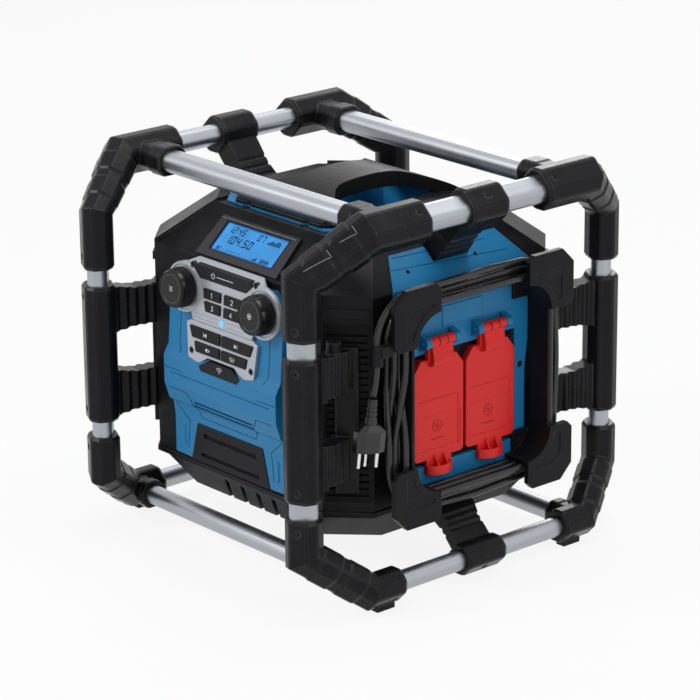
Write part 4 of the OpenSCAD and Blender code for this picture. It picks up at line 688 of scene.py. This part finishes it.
# %% Figures and symbols
FIGURES = {
    "1": [(-0.9, 1.6), (0.3, 2.5), (0.3, -2.5)],
    "2": [(-1.5, 1.4), (-0.9, 2.3), (0.6, 2.4), (1.4, 1.5), (1.2, 0.4), (-1.5, -2.3), (1.6, -2.3)],
    "3": [(-1.4, 2.3), (1.3, 2.3), (-0.1, 0.5), (1.2, 0.1), (1.4, -1.3), (0.5, -2.3), (-0.8, -2.3),
          (-1.5, -1.5)],
    "4": [(0.8, -2.5), (0.8, 2.4), (-1.6, -1.0), (1.7, -1.0)],
}
FIGURE_STROKE = 0.62
KEY_FACE = 1.6                            # millimetres that a key stands out of the plate
INK_SUNK, INK_PROUD = 0.05, 0.08          # how far a mark reaches into its face and out of it
PRESETS = (("1", -15.4, 20.8), ("2", 15.4, 20.8), ("3", -14.2, 8.0), ("4", 14.2, 8.0))


def on_key(name, body, outlines):
    """A pale mark on a key's face."""
    inlay(name, deck, outlines, KEY_FACE - INK_SUNK, KEY_FACE + INK_PROUD, ink, body, "silver_plastic")


for text, u, v in PRESETS:
    stroke = ribbon([(u + x, v + y) for x, y in FIGURES[text]], FIGURE_STROKE)
    on_key("preset_mark_" + text, "preset_" + text + "_key", stroke)
on_key("power_mark", "power_key", ring(-14, 41.0, 2.5, 0.6, start=125, end=415)
       + bar(-14.3, 41.2, -13.7, 44.2) + bar(-8.5, 40.7, 16, 41.3))
print("figures on", len(PRESETS), "presets, and the power sign")

# %% Signs of the other keys
for name, s in (("previous", -1), ("next", 1)):
    arrow = [[(s * 21.2, -23.3), (s * 21.2, -18.9), (s * 24.8, -21.1)]]
    low, high = sorted((s * 25.3, s * 26.0))
    on_key(name + "_mark", name + "_key", arrow + bar(low, -23.3, high, -18.9))
loudspeaker = [(-22.5, -34.6), (-21.2, -34.6), (-19.2, -33.0), (-19.2, -37.8), (-21.2, -36.2), (-22.5, -36.2)]
cross = ribbon([(-18, -34.2), (-15.6, -36.6)], 0.5) + ribbon([(-15.6, -34.2), (-18, -36.6)], 0.5)
on_key("mute_mark", "mute_key", [loudspeaker] + cross)
sliders = []
for i, raised in enumerate((0.7, -0.9, 0.2)):
    u = 2.6 * i
    sliders += bar(15.8 + u, -38, 16.2 + u, -32.8) + bar(15.0 + u, -35.8 + raised, 17.0 + u, -35.0 + raised)
on_key("sliders_mark", "equaliser_key", sliders)
waves = [quad for r in (2.0, 3.5, 5.0) for quad in ring(0, -53.6, r, 0.5, 35, 145)]
on_key("wireless_mark", "wireless_key", dot(0, -53.6, 0.7) + waves)
print("signs on five keys")

# %% Flutes of a knob
KNOB_U, KNOB_V, KNOB_GAP = 60, 20, 1.4    # place of a knob on the deck, and its gap to the plate
FLUTES, FLUTE_DEPTH = 84, 0.45
FLUTE_HALF = 0.28                         # half a flute's width, as a share of their spacing
FLUTE_FOOT, FLUTE_TOP = 19.6, 20.05       # radii


def flutes(name, u, body):
    """Fine flutes round a knob's side."""
    verts, faces = [], []
    profile = [(1.9, FLUTE_FOOT), (2.8, FLUTE_TOP), (10.0, FLUTE_TOP - 0.45), (10.8, FLUTE_FOOT - 0.55)]
    half = math.tau / FLUTES * FLUTE_HALF
    section = ((-half, -FLUTE_DEPTH), (-half * 0.5, 0.0), (half * 0.5, 0.0), (half, -FLUTE_DEPTH))
    for k in range(FLUTES):
        base = len(verts)
        for h, r in profile:
            for turn, deeper in section:
                a, here = math.tau * k / FLUTES + turn, r + deeper
                place = (u + here * math.cos(a), KNOB_V + here * math.sin(a), KNOB_GAP + h)
                verts.append(deck @ Vector(place))
        faces += [(p, p + 1, p + 5, p + 4) for i in range(3) for p in range(base + 4 * i, base + 4 * i + 3)]
        faces.append((base + 3, base + 2, base + 1, base))
        faces.append((base + 12, base + 13, base + 14, base + 15))
    new_piece(name + "_flutes", verts, faces, finishes["knob_black"], body, "knob_black", smooth=False)


print("flutes are", round(math.tau * FLUTE_TOP / FLUTES, 2), "mm apart")

# %% Knobs
KNOB_H, KNOB_RECESS = 16, 0.8
KNOB_FACE = KNOB_GAP + KNOB_H - KNOB_RECESS


def knob_dress(name, u, body, symbol):
    """Flutes round a knob's side, a sign, and a thin pale ring on its face: a painted highlight on its rim.
    """
    flutes(name, u, body)
    low, high = KNOB_FACE - INK_SUNK, KNOB_FACE + INK_PROUD
    inlay(name + "_mark", deck, symbol, low, high, ink, body, "silver_plastic")
    # The thin ring is pale grey: a painted highlight on the rim of the knob's face.
    thin_ring = ring(u, KNOB_V, 14.2, 0.3, n=64)
    inlay(name + "_ring", deck, thin_ring, low, high, finishes["pale_highlight_line"], body, "knob_black")


three_bars = [quad for v in (KNOB_V + 1.6, KNOB_V - 0.3, KNOB_V - 2.2)
              for quad in bar(-KNOB_U - 2.4, v, -KNOB_U + 2.4, v + 0.6)]
knob_dress("menu", -KNOB_U, "menu_turn", three_bars)
play = [[(KNOB_U - 1, KNOB_V - 1.6), (KNOB_U - 1, KNOB_V + 1.6), (KNOB_U + 1.8, KNOB_V)]]
knob_dress("source", KNOB_U, "source_turn", ring(KNOB_U, KNOB_V, 2.7, 0.55) + play)
print("two knobs dressed")

# %% Lines on the plate
LINE_V, LINE_ENDS = (-1.6, -6.2), ((-44, -6.5), (6.5, 33))
LINE_HALF, LINE_PROUD = 0.13, 0.07        # half a line's width, and its height over the plate
lines = [quad for v in LINE_V for left, right in LINE_ENDS
         for quad in bar(left, v - LINE_HALF, right, v + LINE_HALF)]
inlay("plate_lines", deck, lines, -INK_SUNK, LINE_PROUD, dark_ink, "chassis", "silver_plastic")
print("plate lines:", len(lines))

# %% [markdown]
# ## Display
# The picture on the display is built from segments, like a real one: figures of seven
# bars each, leaning a little, a row of level bars, a sign for a battery and one for the
# signal, and a row of dashes. They are dark against the lit ground. A thin rim stands
# round the glass.

# %% Seven-bar figures
SEGMENTS = {"0": "abcdef", "1": "bc", "2": "abged", "4": "fgbc", "5": "afgcd", "7": "abc"}
FIGURE_LEAN = 0.16


def segment(s, u, v, w, h, t):
    """One of the seven bars of a figure w wide and h high, of thickness t."""
    x1, y1, m, g = u + w, v + h, v + h / 2, t * 0.18
    return {"a": (u + g, y1 - t, x1 - g, y1), "g": (u + g, m - t / 2, x1 - g, m + t / 2),
            "d": (u + g, v, x1 - g, v + t),
            "f": (u, m + g, u + t, y1 - g), "b": (x1 - t, m + g, x1, y1 - g),
            "e": (u, v + g, u + t, m - g), "c": (x1 - t, v + g, x1, m - g)}[s]


def seven(text, u, v, w, h, t):
    """Seven-bar figures from a text of digits, dots and colons, from its lower left corner."""
    outlines = []
    for char in text:
        if char == ".":
            outlines += bar(u, v, u + t, v + t)
        elif char == ":":
            for share in (0.25, 0.68):
                outlines += bar(u, v + h * share, u + t, v + h * share + t)
        for s in SEGMENTS.get(char, ""):
            outlines += bar(*segment(s, u, v, w, h, t))
        u += t * 2.2 if char in ".:" else w + t * 1.6
    return [[(p[0] + (p[1] - v) * FIGURE_LEAN, p[1]) for p in quad] for quad in outlines]


print("bars in 12:45:", len(seven("12:45", 0, 0, 4, 8, 1)))

# %% Display picture
picture = (seven("12:45", -39, 6.2, 4.2, 7.6, 1.0) + seven("07", 4, 6.2, 4.2, 7.6, 1.0)
           + seven("104.50", -35, -5.4, 5.4, 9.2, 1.25))
for i in range(9):                        # level bars
    picture += bar(20 + 2.1 * i, 6.2, 21.4 + 2.1 * i, 7.4 + 0.75 * (i % 4 + 1) + 0.3 * i)
picture += ribbon([(-40, -14.4), (-34, -14.4), (-34, -11), (-40, -11)], 0.6, closed=True)
picture += bar(-39, -13.6, -36.4, -11.8)
for i in range(4):                        # signal
    picture += bar(14 + 1.7 * i, -14.6, 15.1 + 1.7 * i, -13.4 + 0.8 * i)
picture += ribbon([(26, -14.6), (37, -14.6), (37, -10.6), (26, -10.6)], 0.6, closed=True)
picture += bar(37.3, -13.6, 38.4, -11.6)
for i in range(4):                        # the battery's cells
    picture += bar(27 + 2.4 * i, -13.7, 28.8 + 2.4 * i, -11.5)
for i in range(7):                        # dashes
    picture += bar(-30 + 4 * i, -13.2, -28.4 + 4 * i, -12.4)
screen_ink = printed("display_ink", (0.003, 0.01, 0.04), 0.5, grain=0.0003, shine=0.08)
inlay("display_picture", front_slope, picture, 1.75, 1.86, screen_ink, "chassis", "display")
rim = ribbon([(-47.4, -17.4), (47.4, -17.4), (47.4, 17.4), (-47.4, 17.4)], 0.9, closed=True)
inlay("display_rim", front_slope, rim, 2.9, 3.25, finishes["knob_black"], "chassis", "black_plastic")
print("display shapes:", len(picture))

# %% [markdown]
# ## Lines that lie on a surface
# Mould lines, low ribs and embossed signs follow the surface under them. Their paths are
# drawn a little way off, and a ray for each point finds the place on the solid, so one
# helper serves flat plates, sloping walls and round limbs. The line is a low ridge with
# sloping flanks, which catches light on one side like a real moulded line. Cutting the
# lines into the solids would do as well, but it changes meshes that other pieces rely on.

# %% Rays onto the solids
from mathutils.bvhtree import BVHTree

trees = {}                                # a search tree for each solid that a line lies on


def meets(nodes, start, direction):
    """The first place where a ray meets one of the solids, and the normal there."""
    hits = []
    for node in nodes:
        if node not in trees:
            mesh = solids[node].data
            trees[node] = BVHTree.FromPolygons([v.co for v in mesh.vertices],
                                               [p.vertices[:] for p in mesh.polygons])
        place, normal, _, far = trees[node].ray_cast(Vector(start), Vector(direction))
        if place is not None:
            hits.append((far, place, normal))
    return min(hits, key=lambda hit: hit[0])[1:] if hits else None


met = meets(["front_panel"], (0.02, -0.3, 0.15), (0, 1, 0))
print("the front panel is met at", [round(c, 4) for c in met[0]])

# %% Ridges
SUNK = 0.0003                             # how far a ridge's feet reach into the surface
CREST = 0.6                               # share of its width that is flat on top


def ridge(nodes, points, direction, width, height, off=0.04, step=0.003):
    """Corners and faces of a low ridge along points, laid on the solids by rays."""
    direction = Vector(direction).normalized()
    points = [Vector(p) for p in points]
    path = []
    for a, b in zip(points, points[1:]):
        count = max(1, round((b - a).length / step))
        path += [a.lerp(b, i / count) for i in range(count)]
    path.append(points[-1])
    found = [hit for hit in (meets(nodes, p - off * direction, direction) for p in path) if hit]
    verts, faces = [], []
    for i, (place, normal) in enumerate(found):
        tangent = (found[min(i + 1, len(found) - 1)][0] - found[max(i - 1, 0)][0]).normalized()
        if normal.dot(direction) > 0:
            normal = -normal
        side = normal.cross(tangent).normalized() * width / 2
        verts += [place - side - normal * SUNK, place - CREST * side + normal * height,
                  place + CREST * side + normal * height, place + side - normal * SUNK]
    for a in range(0, 4 * len(found) - 4, 4):
        b = a + 4
        faces += [(a + k, b + k, b + (k + 1) % 4, a + (k + 1) % 4) for k in range(4)]
    if found:
        last = 4 * len(found) - 4
        faces += [(0, 1, 2, 3), (last + 3, last + 2, last + 1, last)]
    return verts, faces


sample = [(0, -0.18, 0.15), (0.03, -0.18, 0.15)]
print("a ridge of 30 mm has", len(ridge(["front_panel"], sample, (0, 1, 0), MM, MM)[0]), "corners")


# %% Pieces made of ridges
def ridges(name, nodes, paths, direction, width, height, finish, body, slot, **more):
    """Several ridges as one piece; width and height are in millimetres."""
    verts, faces = [], []
    for points in paths:
        v, f = ridge(nodes, points, direction, width * MM, height * MM, **more)
        faces += [tuple(len(verts) + i for i in face) for face in f]
        verts += v
    return new_piece(name, verts, faces, finishes[finish], body, slot, smooth=False)


def circle_path(middle, across, up, r, n=28, start=0, end=360):
    """Points round a circle in the plane of two directions."""
    return [Vector(middle) + r * (math.cos(a) * Vector(across) + math.sin(a) * Vector(up))
            for a in (math.radians(start + (end - start) * i / n) for i in range(n + 1))]


print("a circle has", len(circle_path((0, 0, 0), (1, 0, 0), (0, 1, 0), 1)), "points")

# %% [markdown]
# ## Outlet covers
# Each cover has a raised margin round its lower half, a ring sign and a blank bar where a
# rating would stand. The margin is moulded in the cover's own red; the sign and the bar are
# a darker red, a painted shade of their low relief.
# Two dark slits part the knuckle at its hinge.

# %% Cover signs
INTO_COVER = (-1, 0, 0)
COVER_X, HINGE_X = 0.167, 0.18            # the face of a cover, and a place in front of its hinge
SIGN_Z, SIGN_OUTSIDE, SIGN_INSIDE = 0.1595, 0.0058, 0.0026


def on_cover(y, *points):
    """Places on the face of the cover whose middle is at y, from millimetres aside and up."""
    return [(COVER_X, y + aside * MM, z * MM) for aside, z in points]


for side, y in (("left", -0.034), ("right", 0.034)):
    middle = (COVER_X, y - 0.002, SIGN_Z)
    sign = [circle_path(middle, (0, 1, 0), (0, 0, 1), SIGN_OUTSIDE),
            circle_path(middle, (0, 1, 0), (0, 0, 1), SIGN_INSIDE, 16, 110, 430),
            on_cover(y, (-2, 158.2), (-2, 160.8))]
    rating = [on_cover(y, (-9.5, 146.5), (6.5, 146.5))]
    margin = [on_cover(y, (-26.5, 187.5), (23.5, 187.5), (25.5, 185.5), (25.5, 133.5))]
    slits = [[(HINGE_X, y + s, 0.2432), (HINGE_X, y + s, 0.2515)] for s in (-0.0052, 0.0052)]
    # The sign and the bar are a darker red than the cover: a painted shade of their low relief.
    for kind, paths, width, height, finish, how in (
            ("sign", sign, 0.9, 0.35, "red_shade", {"off": 0.02, "step": 0.0015}),
            ("bar", rating, 1.4, 0.3, "red_shade", {"off": 0.02}),
            ("margin", margin, 1.2, 0.5, "red_plastic", {"off": 0.02}),
            ("slits", slits, 1.1, 0.25, "black_seam_and_hole_shade", {"step": 0.001})):
        ridges("cover_" + kind + "_" + side, ["outlet_cover_" + side], paths, INTO_COVER, width, height,
               finish, "cover_" + side, "red_plastic", **how)
print("signs on two covers")

# %% [markdown]
# ## Seams and screw holes
# Large mouldings are never one plain surface. A seam shows where two tools met. Two dark
# rings on the outlet panel are a painted shade where screws are sunk, and a thin pale line
# along the top of the display's frame is a painted highlight. They are laid on the solids
# like the other lines, dark on the blue and paler on the black.

# %% Seams of the outlet panel with painted screw-hole shade, and a painted highlight over the display
INTO_SLOPE = (-0.67, 0, -0.74)
panel_seams = [[(0.1355, -0.077, 0.3265), (0.1395, 0.05, 0.3235)],
               [(0.1445, -0.082, 0.318), (0.1525, 0.068, 0.3125)]]
ridges("panel_seams", ["outlet_panel"], panel_seams, INTO_SLOPE, 0.9, 0.2,
       "blue_seam", "chassis", "blue_plastic")
# Two dark raised rings stand where screws are sunk: a painted shade of the holes.
panel_hole_shade = [circle_path((0.150, y, 0.3155), (0, 1, 0), (-0.74, 0, 0.67), 0.0012, 12)
               for y in (0.029, -0.0585)]
ridges("panel_hole_shade", ["outlet_panel"], panel_hole_shade, INTO_SLOPE, 2.4, 0.3,
       "black_seam_and_hole_shade", "chassis", "blue_plastic", step=0.001)
# A pale line along the top of the display's frame: a painted highlight.
over_display = [front_slope @ Vector((u, 19.2, 4)) for u in (-58, 54)]
ridges("surround_top_highlight", ["lcd_bezel", "housing"], [over_display], -front_slope.to_3x3().col[2], 1.1, 0.5,
       "pale_highlight_line", "chassis", "black_plastic")
print("seams on the outlet panel, line over the display")

# %% Slits in the upper limbs, drawn pale as painted highlights
LIMB_SLITS = [[(0.1659, 0.2020, 0.3494), (0.1815, 0.1810, 0.3630), (0.1755, 0.1820, 0.3685)],
              [(0.1840, 0.1730, 0.3760), (0.1925, 0.1590, 0.3835), (0.1850, 0.1590, 0.3885)]]
# The slits are drawn pale grey: a painted highlight at the ends of the limbs' ribs.
for side_x, left_right in ((-1, "left"), (1, "right")):
    for side_y, front_back in ((-1, "front"), (1, "back")):
        limb = front_back + "_" + left_right
        paths = [[(side_x * x, side_y * y, z) for x, y, z in path] for path in LIMB_SLITS]
        ridges("limb_slit_highlights_" + limb, ["upper_corner_" + limb], paths, (-0.6 * side_x, -0.5 * side_y, -0.6),
               1.1, 0.4, "pale_highlight_line", "chassis", "cage_rubber")
print("slits on four limbs")

# %% Seams of the front panel
def front_line(*points):
    """Places in front of the panel, from millimetres across and up."""
    return [(x * MM, -0.18, z * MM) for x, z in points]


seams = [front_line((-50, 160), (47.5, 160)), front_line((-50, 160), (-42, 142), (42, 142), (47.5, 160))]
for s in (-1, 1):
    for line in (((82, 149), (63, 134), (66, 104)), ((85, 189), (60, 189), (54, 184.5)),
                 ((68, 252), (68, 214), (64, 206)), ((79, 168), (54, 168), (50, 160))):
        seams.append(front_line(*[(s * x, z) for x, z in line]))
ridges("front_seams", ["front_panel"], seams, (0, 1, 0), 0.8, 0.25, "blue_seam", "chassis", "blue_plastic")
tabs = [front_line((s * 72, 106), (s * 72, 126)) for s in (-1, 1)]
ridges("front_tabs", ["front_panel"], tabs, (0, 1, 0), 5, 0.9, "blue_plastic", "chassis", "blue_plastic")
print("front seams:", len(seams))
